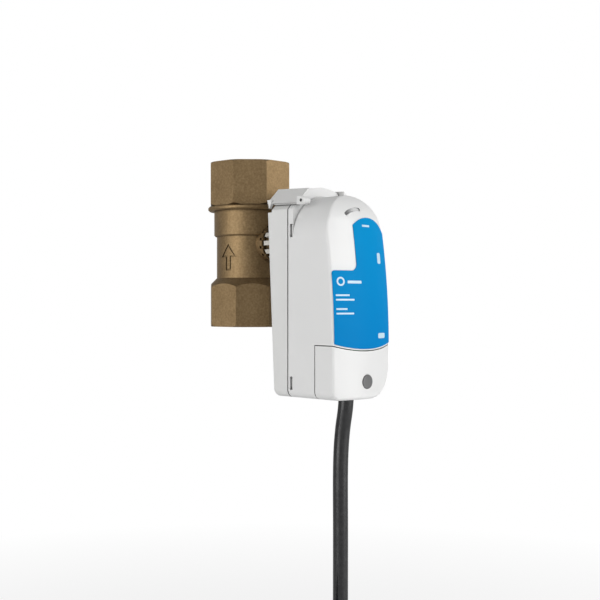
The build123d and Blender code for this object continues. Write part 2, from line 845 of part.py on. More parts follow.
# Release lever
def lever_outline(start_x, thickness):
    """One arm's bevelled strip on the +x side."""
    side = half_width + lever_side_overhang
    slant = thickness * sqrt(2)
    return make_face(Polyline(
        (side, lever_foot_rise), (side - lever_facet, lever_foot_rise + lever_facet),
        (start_x, lever_foot_rise + lever_facet), (start_x, lever_foot_rise + lever_facet - slant),
        (side - lever_facet, lever_foot_rise + lever_facet - slant), (side - thickness, lever_foot_rise
         + thickness - slant), (side - thickness, lever_foot_rise), close=True))


def release_lever():
    side = half_width + lever_side_overhang
    arm_face = lever_outline(crown_half_width + lever_gap, lever_thickness)
    arm = extrude(at_depth(lever_back_depth) * arm_face, lever_front_depth - lever_back_depth)
    ear_plane = Plane(origin=(side, -lever_pivot_depth, stem_height + lever_pivot_rise),
                      x_dir=(0, -1, 0), z_dir=(-1, 0, 0))
    neck = lever_ear_reach + lever_gap
    ear_face = Circle(lever_ear_radius) + Pos(-neck / 2, 0) * Rectangle(neck, 2 * lever_ear_radius)
    arm += extrude(ear_plane * ear_face, lever_ear_thickness)
    tab_plane = Plane(origin=(side, -lever_back_depth, stem_height + lever_foot_rise),
                      x_dir=(0, -1, 0), z_dir=(-1, 0, 0))
    tab = make_face(Polyline((0, lever_thickness), (lever_tab_length / 2, -lever_tab_drop),
                             (lever_tab_length, 0), (lever_tab_length, lever_thickness), close=True))
    arm += extrude(tab_plane * tab, lever_thickness)
    arm -= extrude(ear_plane.offset(-overrun) * Circle(lever_pin_radius), 2 * overrun)
    top_rise = lever_foot_rise + lever_facet - lever_thickness / 2
    corner_rise = lever_foot_rise + lever_facet - lever_thickness - lever_pivot_rise
    clear = hypot(lever_pivot_depth - seam_depth, crown_rise - lever_pivot_rise) + lever_gap
    roof_end = lever_pivot_depth - sqrt(clear ** 2 - corner_rise ** 2)
    roof_width = 2 * (crown_half_width + lever_gap)
    roof = block(roof_width, lever_thickness, lever_back_depth, roof_end, 0, top_rise)
    lever = arm + mirror(arm, Plane.YZ) + roof
    pivot = Pos(0, -lever_pivot_depth, stem_height + lever_pivot_rise)
    return pivot * Rot(lever_tip, 0, 0) * pivot.inverse() * lever


def lever_pins():
    pins = []
    for side in (-1, 1):
        start = lever_pivot_x() - running_gap - lug_thickness
        end = half_width + lever_side_overhang
        plane = Plane(origin=(side * start, -lever_pivot_depth, stem_height + lever_pivot_rise),
                      x_dir=(0, 1, 0), z_dir=(side, 0, 0))
        pins.append(extrude(plane * Circle(lever_pin_radius), end - start))
    return Compound(children=pins)


# Push button
def push_button():
    face_depth = front_depth - fit_gap
    head = rod(button_radius, face_depth - button_head, front_depth + overrun, 0, -button_drop)
    head = head & front_form(-button_proud)
    flange_end = front_depth - case_wall - 2 * button_gap
    head += rod(button_flange_radius, flange_end - button_flange, flange_end, 0, -button_drop) & front_form(
        case_wall + button_gap)
    stem_start = board_end + tact_height + tact_plunger_height + button_travel + running_gap
    return head + rod(button_stem_radius, stem_start, face_depth - button_head, 0, -button_drop)


# Gears
def gear_face(teeth, tooth_angle):
    """A spur gear's outline with one tooth centred at an angle in degrees."""
    pitch = gear_module * teeth / 2
    base = pitch * cos(radians(pressure_angle))
    tip = pitch + addendum_share * gear_module
    root = pitch - dedendum_share * gear_module
    pressure = radians(pressure_angle)
    half_tooth = pi / (2 * teeth) - backlash / (4 * pitch) + tan(pressure) - pressure

    def half_angle(radius):
        roll = acos(min(base / radius, 1))
        return half_tooth - (tan(roll) - roll)

    start = max(base, root)
    flank = [start + (tip - start) * i / flank_steps for i in range(flank_steps + 1)]
    if root < base:
        flank.insert(0, root)
    points = []
    for tooth in range(teeth):
        centre = radians(tooth_angle) + 2 * pi * tooth / teeth
        for side, radii in ((-1, flank), (1, flank[::-1])):
            for radius in radii:
                angle = centre + side * half_angle(max(radius, base))
                points.append((radius * cos(angle), radius * sin(angle)))
    return make_face(Polyline(*points, close=True))


def gear(teeth, start, end, drop, tooth_angle):
    """A spur gear between two depths, on an axis below the stem axis."""
    return extrude(at_depth(start, 0, -drop) * gear_face(teeth, tooth_angle), end - start)


UP, DOWN = 90, -90


def output_gear():
    piece = gear(output_teeth, layer_c_start, layer_c_start + gear_width, 0, DOWN)
    socket_end = neck_end + stem_square_length + 2 * running_gap
    piece += rod(output_hub_radius, rear_plate_start, socket_end + edge_round)
    piece += rod(output_neck_radius, socket_end, front_plate_start - 2 * running_gap)
    piece += rod(output_shaft_radius, layer_c_start, cam_start)
    return piece - rod(socket_radius, 0, socket_end)


def drive_socket():
    start = neck_end + 2 * running_gap
    end = neck_end + stem_square_length + running_gap
    sleeve = rod(socket_radius - fit_gap, start, end)
    return sleeve - block(stem_square + 2 * running_gap, stem_square + 2 * running_gap, 0, end + overrun)


def switch_cam():
    cam = rod(cam_radius, cam_start, cam_end)
    cam += block(2 * cam_radius, cam_lobe_radius, cam_start, cam_end, 0, -cam_lobe_radius / 2) & rod(
        cam_lobe_radius, cam_start, cam_end)
    return cam


def pointer_dial():
    """The pale sector behind the pointer's arms, which fills the slot at every angle of the valve."""
    first = slot_start_angle - pointer_margin_angle
    last = slot_end_angle + pointer_margin_angle + valve_travel_angle
    corners = [(2 * dial_radius * cos(radians(angle)), 2 * dial_radius * sin(radians(angle)))
               for angle in (first, (first + last) / 2, last)]
    wedge = case_prism(make_face(Polyline((0, 0), *corners, close=True)), pointer_start, dial_end)
    return wedge & rod(dial_radius, pointer_start, dial_end)


def indicator_pointer():
    """A dial with two arms: one shows at the slot's left end when open, the other at its right when shut."""
    piece = rod(output_shaft_radius, cam_end, pointer_start)
    piece += rod(pointer_hub_radius, pointer_start, pointer_end) + pointer_dial()
    arm = block(pointer_width, dial_radius, pointer_start, pointer_end, 0, dial_radius / 2)
    centre = Pos(0, 0, stem_height)
    shut_angle = slot_start_angle + pointer_margin_angle + valve_travel_angle
    for angle in (slot_end_angle - pointer_margin_angle, shut_angle):
        piece += centre * Rot(0, UP - angle, 0) * centre.inverse() * arm
    return piece


def idler(drop, wheel_start, pinion_start):
    """A compound idler: a wheel with a pinion in the next layer, bored for its pin."""
    pinion_up = UP + 180 / pinion_teeth
    piece = gear(wheel_teeth, wheel_start, wheel_start + gear_width, drop, DOWN)
    piece += gear(pinion_teeth, pinion_start, pinion_start + gear_width, drop, pinion_up)
    low, high = min(wheel_start, pinion_start), max(wheel_start, pinion_start)
    piece += rod(gear_hub_radius, low, high + gear_width, 0, -drop)
    return piece - rod(gear_pin_radius + running_gap, 0, front_depth, 0, -drop)


def gear_pins():
    return Compound(children=[rod(gear_pin_radius, rear_plate_start, front_plate_end, 0, -drop)
                              for drop in (idler_one_drop, idler_two_drop)])


def motor_pinion():
    pinion = gear(pinion_teeth, layer_a_start, layer_a_start + gear_width, motor_pinion_drop,
                  UP + 180 / pinion_teeth)
    shaft_end = motor_start + motor_ear_thickness
    return pinion + rod(motor_shaft_radius, layer_a_start, shaft_end, 0, -motor_pinion_drop)


# Gear frame
def plate(start, low_rise):
    outline = vault_outline(case_wall + plate_inset)
    height = plate_top_rise - low_rise
    cut = Pos(0, (plate_top_rise + low_rise) / 2) * Rectangle(case_width, height)
    piece = case_prism(outline & cut, start, start + plate_thickness)
    for x, rise in pillar_places():
        piece -= rod(frame_screw_radius + fit_gap, 0, front_depth, x, rise)
    for drop in (idler_one_drop, idler_two_drop):
        piece -= rod(gear_pin_radius + fit_gap, 0, front_depth, 0, -drop)
    return piece


def motor_ears():
    """The motor's two ears as (x, rise)."""
    return [(-motor_ear_x, -motor_drop - motor_ear_rise), (motor_ear_x, -motor_drop + motor_ear_rise)]


def rear_gear_plate():
    piece = plate(rear_plate_start, -case_bottom_drop + case_wall + plate_inset)
    piece -= rod(output_hub_radius + running_gap, 0, seam_depth)
    for x, rise in motor_ears():
        piece += rod(motor_ear_radius, rear_plate_start, motor_start - fit_gap, x, rise)
        piece -= rod(frame_screw_radius, rear_plate_end, seam_depth, x, rise)
    return piece


def front_gear_plate():
    return plate(front_plate_start, -front_plate_drop) - rod(
        output_shaft_radius + running_gap, 0, front_depth)


def frame_pillars():
    pillars = []
    for x, rise in pillar_places():
        tube = rod(pillar_radius, rear_plate_end + fit_gap, front_plate_start - fit_gap, x, rise)
        pillars.append(tube - rod(frame_screw_radius + fit_gap, 0, front_depth, x, rise))
    return Compound(children=pillars)


def screw(shank_radius, tip, head_face, head_side, x, rise):
    """A pan-head screw along -Y: its tip, the face that its head clamps, and the head's side (+1 is -Y)."""
    head = sorted((head_face, head_face + head_side * screw_head_height))
    shank = sorted((tip, head_face))
    body = rod(shank_radius, shank[0], shank[1], x, rise) + rod(screw_head_radius, head[0], head[1], x, rise)
    slot_depth = screw_head_height / 2
    slot = sorted((head_face + head_side * screw_head_height, head_face + head_side * slot_depth))
    return body - block(2 * screw_head_radius, slot_depth, slot[0], slot[1], x, rise)


def frame_screws():
    return Compound(children=[
        screw(frame_screw_radius - fit_gap, frame_screw_end, front_plate_end + fit_gap, 1, x, rise)
        for x, rise in pillar_places()])


# Motor and switches
def motor_can():
    ear_end = motor_start + motor_ear_thickness
    inward = motor_radius / (motor_radius + motor_ear_radius)
    can = rod(motor_radius, motor_start, motor_end, 0, -motor_drop)
    for x, rise in motor_ears():
        can += rod(motor_ear_radius, motor_start, ear_end, x, rise)
        can += rod(motor_ear_radius, motor_start, ear_end, x * inward,
                   -motor_drop + (rise + motor_drop) * inward)
        can -= rod(frame_screw_radius, 0, ear_end, x, rise)
    return can - rod(motor_shaft_radius + running_gap, 0, motor_start + 2 * motor_ear_thickness, 0,
                     -motor_pinion_drop)


def motor_screws():
    tip = motor_start - 2 * motor_ear_thickness
    return Compound(children=[
        screw(frame_screw_radius - fit_gap, tip, motor_start + motor_ear_thickness + fit_gap, 1, x, rise)
        for x, rise in motor_ears()])


def limit_switches():
    start = front_plate_end + fit_gap
    return Compound(children=[
        block(switch_width, switch_height, start, start + switch_depth, side * switch_x, 0)
        for side in (-1, 1)])


def switch_arms():
    arms = []
    for side in (-1, 1):
        x = side * (switch_x - switch_width / 2 - switch_arm_gap - switch_arm_thickness / 2)
        arm = block(switch_arm_thickness, switch_height * 2 / 3, cam_start, cam_end, x, 0)
        foot = switch_arm_gap + switch_arm_thickness - fit_gap
        foot_x = side * (switch_x - switch_width / 2 - fit_gap - foot / 2)
        arms.append(arm + block(foot, switch_arm_thickness, cam_start, cam_end, foot_x, switch_height / 3))
    return Compound(children=arms)


# Circuit board
def circuit_board():
    outline = vault_outline(half_width - board_half_width)
    height = board_bottom_drop - board_top_drop
    cut = Pos(0, -(board_bottom_drop + board_top_drop) / 2) * Rectangle(case_width, height)
    board = case_prism(outline & cut, board_start, board_end)
    for x in (-board_screw_x, board_screw_x):
        for drop in board_screw_drops:
            board -= rod(frame_screw_radius + fit_gap, 0, front_depth, x, -drop)
    return board


def board_screws():
    tip = board_end + board_screw_length
    return Compound(children=[
        screw(frame_screw_radius - fit_gap, tip, board_start - fit_gap, -1, x, -drop)
        for x in (-board_screw_x, board_screw_x) for drop in board_screw_drops])


def terminal_block():
    start = board_end + fit_gap
    body = block(terminal_width, terminal_height, start, start + terminal_depth, 0, -terminal_drop)
    for i in (-1, 0, 1):
        x = i * terminal_pitch
        body -= rod(terminal_screw_radius + fit_gap, start + terminal_depth / 2, front_depth, x,
                    -terminal_drop)
        low = stem_height - terminal_drop - terminal_height / 2
        body -= drum(terminal_hole_radius, low - overrun, low + terminal_height / 3, x, -terminal_hole_depth)
    return body


def terminal_screws():
    start = board_end + terminal_depth / 2 + 2 * fit_gap
    end = start + terminal_depth / 2 - fit_gap - screw_head_height / 2
    screws = []
    for i in (-1, 0, 1):
        head = rod(terminal_screw_radius - fit_gap, start, end, i * terminal_pitch, -terminal_drop)
        slot = block(2 * terminal_screw_radius, screw_head_height / 2, end - screw_head_height / 2, end,
                     i * terminal_pitch, -terminal_drop)
        screws.append(head - slot)
    return Compound(children=screws)


def relay():
    start = board_end + fit_gap
    box = block(relay_width, relay_height, start, start + relay_depth, relay_x, -relay_drop)
    return chamfer(box.faces().sort_by(Axis.Y)[0].edges(), edge_round)


def capacitor():
    start = board_end + fit_gap
    can = rod(capacitor_radius, start, start + capacitor_length, capacitor_x, -capacitor_drop)
    return fillet(can.faces().sort_by(Axis.Y)[0].edges(), edge_round)


def controller_chip():
    start = board_end + fit_gap
    return block(chip_size, chip_size, start, start + chip_height, chip_x, -chip_drop)


def radio_module():
    start = board_end + fit_gap
    return block(radio_width, radio_height, start, start + radio_depth, radio_x, -radio_drop)


def tact_switch():
    start = board_end + fit_gap
    body = block(tact_size, tact_size, start, start + tact_height, 0, -button_drop)
    return body + rod(tact_plunger_radius, start + tact_height, start + tact_height + tact_plunger_height, 0,
                      -button_drop)


# Cable, grommet and wires
def cable_grommet():
    floor = case_bottom + case_wall
    bush = drum(grommet_radius, case_bottom, floor + grommet_flange, 0, -cable_depth)
    bush += drum(grommet_flange_radius, floor + fit_gap, floor + grommet_flange, 0, -cable_depth)
    return bush - drum(cable_radius + fit_gap, -body_length, body_length, 0, -cable_depth)


def tube(points, radii, radius):
    path = FilletPolyline(*points, radius=radii)
    return sweep(Plane(origin=path @ 0, z_dir=path % 0) * Circle(radius), path=path)


def route_radii(points, share):
    """Each corner's radius: a share of its shorter run, over the tangent of half its turn."""
    places = [Vector(*p) for p in points]
    radii = []
    for a, b, c in zip(places, places[1:], places[2:]):
        turn = radians((b - a).get_angle(c - b))
        radii.append(share * min((b - a).length, (c - b).length) / tan(turn / 2))
    return radii


def core_start(i):
    """Where a core leaves the jacket, as (x, depth): the three lie in a triangle."""
    return i * core_spread, cable_depth + (core_spread if i == 0 else 0) + core_radius


def supply_wire(i):
    """One core from the jacket's end, past the button's switch and stem, up to its terminal."""
    low = cable_route[0][2] + core_radius
    foot = stem_height - terminal_foot_drop
    rise = foot - low
    x, depth = core_start(i)
    switch_front = board_end + tact_height + tact_plunger_height + core_radius + core_gap
    detour = button_stem_radius + 2 * core_radius + core_gap
    swing_x = i * terminal_pitch * swing_share if i else detour
    swing_depth = terminal_hole_depth + (0 if i else core_radius * 2)
    points = [
        (x, -depth, low),
        (x, -switch_front + (0 if i else -core_radius), low + rise * first_turn_share),
        (swing_x, -swing_depth, low + rise / 2),
        (i * terminal_pitch, -terminal_hole_depth, foot - rise * first_turn_share),
        (i * terminal_pitch, -terminal_hole_depth, foot + terminal_height / 4),
    ]
    return tube(points, [core_bend_radius] * 3, core_radius)


def cable():
    radii = route_radii(cable_route, bend_share)
    print("cable radii", [round(radius, 1) for radius in radii])
    solid = tube(cable_route, radii, cable_radius)
    path = FilletPolyline(*cable_route, radius=radii)
    print("cable length", round(path.length, 2), "volume share",
          round(solid.volume / (pi * cable_radius ** 2 * path.length), 5))
    return solid


def coil_point(turns):
    """The coil's centre line: in along a spiral, and out again in the next layer."""
    start = Vector(*cable_route[-1]) - Vector(coil_outer_radius, 0, 2 * cable_radius)
    radius = coil_outer_radius - coil_pitch * (coil_turns_in - abs(turns - coil_turns_in))
    climb = min(max((turns - coil_turns_in) / coil_climb_turns + 1 / 2, 0), 1)
    layer = coil_pitch * climb * climb * (3 - 2 * climb)
    angle = 2 * pi * turns
    return start + Vector(radius * cos(angle), layer, -radius * sin(angle))


def coil_direction(turns, last):
    """The centre line's direction, level with the straight ends at both ends."""
    if turns in (0, last):
        return Vector(0, 0, -1)
    step = 1 / 512
    return (coil_point(turns + step) - coil_point(turns - step)).normalized()


def biarc(start, start_way, end, end_way):
    """Two arcs from one point and direction to another."""
    across = end - start
    a = 2 * (1 - start_way.dot(end_way))
    b = across.dot(start_way + end_way)
    reach = (sqrt(b * b + a * across.dot(across)) - b) / a
    near, far = start + start_way * reach, end - end_way * reach
    middle = (near + far) / 2
    return [TangentArc(start, middle, tangent=start_way),
            TangentArc(middle, end, tangent=(far - near).normalized())]


def coil_path():
    last = coil_turns_in + coil_turns_out
    steps = int(4 * last)
    start, end = coil_point(0), coil_point(last)
    edges = [Line(Vector(*cable_route[-1]), start)]
    for i in range(steps):
        a, b = i / 4, (i + 1) / 4
        edges += biarc(coil_point(a), coil_direction(a, last), coil_point(b), coil_direction(b, last))
    edges.append(Line(end, end - Vector(0, 0, 2 * cable_radius)))
    return Wire(edges)


def coil_gap(path):
    """The least gap of the tube to itself, measured on points along it."""
    count = 720
    points = [path @ (i / count) for i in range(count + 1)]
    apart = int(count / (coil_turns_in + coil_turns_out) / 2)
    least = min((points[i] - points[j]).length
                for i in range(count + 1) for j in range(i + apart, count + 1))
    return least - 2 * cable_radius


def cable_coil():
    path = coil_path()
    print("coil length", round(path.length, 1), "least gap", round(coil_gap(path), 3))
    return sweep(Plane(origin=path @ 0, z_dir=path % 0) * Circle(cable_radius), path=path)


def cable_tie():
    """A strap round the four turns at the coil's top, with its head outside."""
    near = coil_point(3 / 4)
    far = coil_point(7 / 4)
    layer = Vector(0, coil_pitch, 0)
    centre = (near + far + layer) / 2
    half_high = (near - far).length / 2 + cable_radius + tie_gap
    half_deep = coil_pitch / 2 + cable_radius + tie_gap
    frame = Plane(origin=(centre.X - tie_width / 2, centre.Y, centre.Z), x_dir=(0, 1, 0), z_dir=(1, 0, 0))
    outer = RectangleRounded(2 * (half_deep + tie_thickness), 2 * (half_high + tie_thickness),
                             cable_radius + tie_thickness)
    inner = RectangleRounded(2 * half_deep, 2 * half_high, cable_radius)
    strap = extrude(frame * (outer - inner), tie_width)
    head_frame = Plane(origin=(centre.X - tie_width, centre.Y - half_deep - tie_thickness / 2, centre.Z),
                       x_dir=(0, -1, 0), z_dir=(1, 0, 0))
    head = extrude(head_frame * (Pos(tie_head_height / 2, 0) * Rectangle(tie_head_height, tie_head_length)),
                   2 * tie_width)
    return strap + head


def tail_start():
    return coil_point(coil_turns_in + coil_turns_out) - Vector(0, 0, 2 * cable_radius)


def tail_points(i):
    start = tail_start()
    shift = Vector(i * core_spread, core_spread / 2 if i == 0 else -core_spread / 2, 0)
    return [start + shift - Vector(0, 0, fit_gap),
            start + shift - Vector(0, 0, tail_length / 4),
            start + shift + Vector(i * tail_spread, 0, -tail_length * 3 / 4),
            start + shift + Vector(i * tail_spread, 0, -tail_length - i * fit_gap)]


def tail_wires():
    wires = []
    for i in (-1, 0, 1):
        points = tail_points(i)
        if i == 0:
            wires.append(drum(core_radius, points[-1].Z, points[0].Z, points[0].X, points[0].Y))
        else:
            wires.append(tube(points, [tail_bend_radius] * 2, core_radius))
    return Compound(children=wires)


def tail_ferrules():
    ferrules = []
    for i in (-1, 0, 1):
        end = tail_points(i)[-1]
        sleeve = drum(ferrule_radius, end.Z - ferrule_length, end.Z - fit_gap, end.X, end.Y)
        ferrules.append(sleeve)
    return Compound(children=ferrules)


parts = {
    "valve_body": valve_body(),
    "end_connector": end_connector(),
    "connector_seal": connector_seal(),
    "inlet_ball_seat": ball_seat(-1),
    "outlet_ball_seat": ball_seat(1),
    "ball": ball(),
    "stem": stem(),
    "stem_o_rings": stem_o_rings(),
    "stem_washer": stem_washer(),
    "snap_collar": snap_collar(),
    "retaining_clip": retaining_clip(),
    "rear_housing": rear_housing(),
    "front_housing": front_housing(),
    "housing_seal": housing_seal(),
    "terminal_cover": terminal_cover(),
    "label_panel": label_panel(),
    "indicator_window": indicator_window(),
    "release_lever": release_lever(),
    "lever_pins": lever_pins(),
    "push_button": push_button(),
    "rear_gear_plate": rear_gear_plate(),
    "front_gear_plate": front_gear_plate(),
    "frame_pillars": frame_pillars(),
    "frame_screws": frame_screws(),
    "gear_pins": gear_pins(),
    "output_gear": output_gear(),
    "drive_socket": drive_socket(),
    "switch_cam": switch_cam(),
    "indicator_pointer": indicator_pointer(),
    "idler_gear_one": idler(idler_one_drop, layer_a_start, layer_b_start),
    "idler_gear_two": idler(idler_two_drop, layer_b_start, layer_c_start),
    "motor_pinion": motor_pinion(),
    "motor_can": motor_can(),
    "motor_screws": motor_screws(),
    "limit_switches": limit_switches(),
    "switch_arms": switch_arms(),
    "circuit_board": circuit_board(),
    "board_screws": board_screws(),
    "terminal_block": terminal_block(),
    "terminal_screws": terminal_screws(),
    "relay": relay(),
    "capacitor": capacitor(),
    "controller_chip": controller_chip(),
    "radio_module": radio_module(),
    "tact_switch": tact_switch(),
    "cable_grommet": cable_grommet(),
    "line_wire": supply_wire(-1),
    "neutral_wire": supply_wire(0),
    "earth_wire": supply_wire(1),
    "cable": cable(),
    "cable_coil": cable_coil(),
    "cable_tie": cable_tie(),
    "tail_wires": tail_wires(),
    "tail_ferrules": tail_ferrules(),
}

os.makedirs("parts", exist_ok=True)
for name, piece in parts.items():
    export_step(piece, os.path.join("parts", name + ".step"))
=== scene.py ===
"""A motorised water valve: finishes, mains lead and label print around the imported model."""

import logging
import math
from dataclasses import dataclass
from enum import Enum
from typing import Protocol

import bpy
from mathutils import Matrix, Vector

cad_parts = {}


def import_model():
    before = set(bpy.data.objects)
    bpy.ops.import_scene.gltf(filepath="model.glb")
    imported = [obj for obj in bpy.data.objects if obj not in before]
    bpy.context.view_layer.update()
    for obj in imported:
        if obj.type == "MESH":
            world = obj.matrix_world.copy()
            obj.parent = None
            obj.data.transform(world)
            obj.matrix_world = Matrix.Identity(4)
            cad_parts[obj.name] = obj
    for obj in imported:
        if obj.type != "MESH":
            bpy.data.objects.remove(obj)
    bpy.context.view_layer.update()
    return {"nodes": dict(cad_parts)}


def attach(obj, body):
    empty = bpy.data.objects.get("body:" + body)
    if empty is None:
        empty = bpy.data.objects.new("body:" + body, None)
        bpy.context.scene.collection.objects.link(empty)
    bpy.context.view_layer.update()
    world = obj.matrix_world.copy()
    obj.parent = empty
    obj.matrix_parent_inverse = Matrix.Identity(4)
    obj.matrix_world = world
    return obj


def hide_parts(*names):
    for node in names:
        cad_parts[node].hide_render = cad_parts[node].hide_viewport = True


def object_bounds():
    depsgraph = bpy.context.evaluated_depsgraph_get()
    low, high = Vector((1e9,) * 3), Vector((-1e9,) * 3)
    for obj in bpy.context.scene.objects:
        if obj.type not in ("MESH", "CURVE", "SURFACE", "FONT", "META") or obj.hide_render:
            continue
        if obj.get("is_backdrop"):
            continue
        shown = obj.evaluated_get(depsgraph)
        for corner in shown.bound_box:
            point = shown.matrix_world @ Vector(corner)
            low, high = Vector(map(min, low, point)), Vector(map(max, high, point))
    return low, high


LOG = logging.getLogger("water_valve")
MM = 0.001
ROOT_BODY = "housing"
Colour = tuple[float, float, float]
Point = tuple[float, float, float]
Span = tuple[float, float]
Socket = bpy.types.NodeSocket
Source = Socket | float | tuple[float, ...]

# Most of a noise texture's values lie in this span.
NOISE_SPAN: Span = (0.3, 0.7)
# The insulation of the cable's three cores.
BROWN: Colour = (0.16, 0.06, 0.02)
BLUE: Colour = (0.01, 0.08, 0.42)
GREEN: Colour = (0.12, 0.38, 0.03)


class Axis(Enum):
    """An axis of the object."""

    X = 0
    Y = 1
    Z = 2


class Print(Enum):
    """The shapes that the label carries."""

    BAR = "bar"
    RING = "ring"


class Nodes:
    """A small helper that adds and joins the nodes of one shader tree."""

    def __init__(self, tree: bpy.types.NodeTree) -> None:
        """Takes hold of a tree.

        Args:
            tree: The shader tree of a material or of the world.
        """
        self.tree = tree

    def add(self, kind: str, **values: object) -> bpy.types.Node:
        """Adds a node and sets its properties.

        Args:
            kind: The node's type.
            **values: Property names and their values.

        Returns:
            The new node.
        """
        node = self.tree.nodes.new(kind)
        for key, value in values.items():
            setattr(node, key, value)
        return node

    def feed(self, target: Socket, source: Source) -> None:
        """Joins an input socket to an output socket, or gives it a constant.

        Args:
            target: The input socket.
            source: The output socket or the constant.
        """
        if isinstance(source, Socket):
            self.tree.links.new(source, target)
        else:
            target.default_value = source

    def calculate(self, operation: str, first: Source, second: Source) -> Socket:
        """Works out a value from two others.

        Args:
            operation: The kind of sum.
            first: The first value.
            second: The second value.

        Returns:
            The result.
        """
        node = self.add("ShaderNodeMath", operation=operation)
        self.feed(node.inputs[0], first)
        self.feed(node.inputs[1], second)
        return node.outputs[0]

    def remap(self, value: Socket, span: Span, ends: tuple[Source, Source] = (0.0, 1.0)) -> Socket:
        """Maps a span of values to another one and holds its ends.

        Args:
            value: The value to map.
            span: The two ends of the span that it comes from.
            ends: What the two ends are mapped to.

        Returns:
            The mapped value.
        """
        node = self.add("ShaderNodeMapRange")
        for name, end in zip(("From Min", "From Max", "To Min", "To Max"), (*span, *ends)):
            self.feed(node.inputs[name], end)
        self.feed(node.inputs["Value"], value)
        return node.outputs["Result"]

    def part(self, vector: Socket, axis: Axis) -> Socket:
        """Gives the part of a vector that lies along one axis.

        Args:
            vector: The vector.
            axis: The axis.

        Returns:
            The part.
        """
        split = self.add("ShaderNodeSeparateXYZ")
        self.feed(split.inputs[0], vector)
        return split.outputs[axis.name]


class Graph(Nodes):
    """The nodes of one new material, around its Principled BSDF and its output."""

    def __init__(self, name: str) -> None:
        """Starts a material that has only a Principled BSDF and its output.

        Args:
            name: The material's name.
        """
        self.material = bpy.data.materials.new(name)
        self.material.use_nodes = True
        super().__init__(self.material.node_tree)
        self.shader = self.tree.nodes["Principled BSDF"]
        self.output = self.tree.nodes["Material Output"]
        self.coords = self.add("ShaderNodeTexCoord").outputs["Object"]

    def set(self, **values: Source) -> None:
        """Feeds sockets of the shader.

        Args:
            **values: Socket names with underscores for spaces, and what each one takes.
        """
        for key, value in values.items():
            self.feed(self.shader.inputs[key.replace("_", " ")], value)

    def stretched(self, stretch: Point) -> Socket:
        """Gives object coordinates scaled along the axes.

        Args:
            stretch: The scale along x, y and z.

        Returns:
            The scaled coordinates.
        """
        mapping = self.add("ShaderNodeMapping")
        self.feed(mapping.inputs["Scale"], stretch)
        self.feed(mapping.inputs["Vector"], self.coords)
        return mapping.outputs["Vector"]

    def along(self, axis: Axis, start: float, end: float) -> Socket:
        """Makes a factor that grows along an axis.

        Args:
            axis: The axis.
            start: Where the factor leaves 0.
            end: Where it reaches 1.

        Returns:
            The factor.
        """
        return self.remap(self.part(self.coords, axis), (start, end))

    def from_axis(self) -> Socket:
        """Measures how far a point lies from the pipe axis.

        Returns:
            The distance in metres.
        """
        length = self.add("ShaderNodeVectorMath", operation="LENGTH")
        self.feed(length.inputs[0], self.stretched((1.0, 1.0, 0.0)))
        return length.outputs["Value"]

    def noise(self, scale: float, detail: float = 3.0, vector: Socket | None = None) -> Socket:
        """Adds a noise texture.

        Args:
            scale: Features per metre.
            detail: Octaves of detail.
            vector: Coordinates in place of the object's own.

        Returns:
            The noise as a factor from 0 to 1.
        """
        node = self.add("ShaderNodeTexNoise")
        self.feed(node.inputs["Scale"], scale)
        self.feed(node.inputs["Detail"], detail)
        self.feed(node.inputs["Vector"], vector or self.coords)
        return node.outputs["Fac"]

    def spread(self, factor: Socket, low: float, high: float) -> Socket:
        """Maps the middle of a noise to a range of values.

        Args:
            factor: A noise from 0 to 1.
            low: The value at the noise's lower end.
            high: The value at the noise's upper end.

        Returns:
            The mapped value.
        """
        return self.remap(factor, NOISE_SPAN, (low, high))

    def ramp(self, factor: Socket, stops: list[tuple[float, Colour]]) -> Socket:
        """Turns a factor into a colour.

        Args:
            factor: The factor that picks the colour.
            stops: Places from 0 to 1 and their colours.

        Returns:
            The colour.
        """
        node = self.add("ShaderNodeValToRGB")
        elements = node.color_ramp.elements
        while len(elements) < len(stops):
            elements.new(0.5)
        for element, (place, colour) in zip(elements, stops):
            element.position = place
            element.color = (*colour, 1.0)
        self.feed(node.inputs["Fac"], factor)
        return node.outputs["Color"]

    def mix_values(self, share: Source, first: Source, second: Source) -> Socket:
        """Mixes two values.

        Args:
            share: The second value's share, from 0 to 1.
            first: The first value.
            second: The second value.

        Returns:
            The mixed value.
        """
        node = self.add("ShaderNodeMix", data_type="FLOAT")
        for place, source in ((0, share), (2, first), (3, second)):
            self.feed(node.inputs[place], source)
        return node.outputs[0]

    def mix_colours(self, share: Source, first: Source, second: Source, blend: str = "MIX") -> Socket:
        """Mixes two colours.

        Args:
            share: How far the second colour takes over, from 0 to 1.
            first: The first colour.
            second: The second colour.
            blend: The way in which they are mixed.

        Returns:
            The mixed colour.
        """
        node = self.add("ShaderNodeMix", data_type="RGBA", blend_type=blend)
        for place, source in ((0, share), (6, first), (7, second)):
            self.feed(node.inputs[place], source)
        return node.outputs[2]

    def paint_crease_shade(self, colour: Socket, reach: float, depth: float) -> Socket:
        """Paints shade into a colour in seams and narrow gaps, where an ambient occlusion node finds walls
        close by.

        Args:
            colour: The colour away from them.
            reach: How far the walls of a gap paint shade on each other, in metres.
            depth: How dark the painted shade at the bottom of a gap gets, from 0 to 1.

        Returns:
            The colour with shade painted into its seams and gaps.
        """
        # Painted shade: the ambient occlusion darkens the colour wherever walls lie close together.
        node = self.add("ShaderNodeAmbientOcclusion", samples=8)
        self.feed(node.inputs["Distance"], reach)
        shade = self.ramp(node.outputs["AO"], [(0.3, (1 - depth,) * 3), (0.8, (1.0, 1.0, 1.0))])
        return self.mix_colours(1.0, colour, shade, "MULTIPLY")

    def bump(self, layers: list[tuple[Socket, float]]) -> None:
        """Stacks bump layers onto the shader's normal.

        Args:
            layers: Heights from 0 to 1 and the depth in metres that each stands for.
        """
        normal = None
        for height, depth in layers:
            node = self.add("ShaderNodeBump")
            self.feed(node.inputs["Strength"], 1.0)
            self.feed(node.inputs["Distance"], depth)
            self.feed(node.inputs["Height"], height)
            if normal:
                self.feed(node.inputs["Normal"], normal)
            normal = node.outputs["Normal"]
        self.set(Normal=normal)


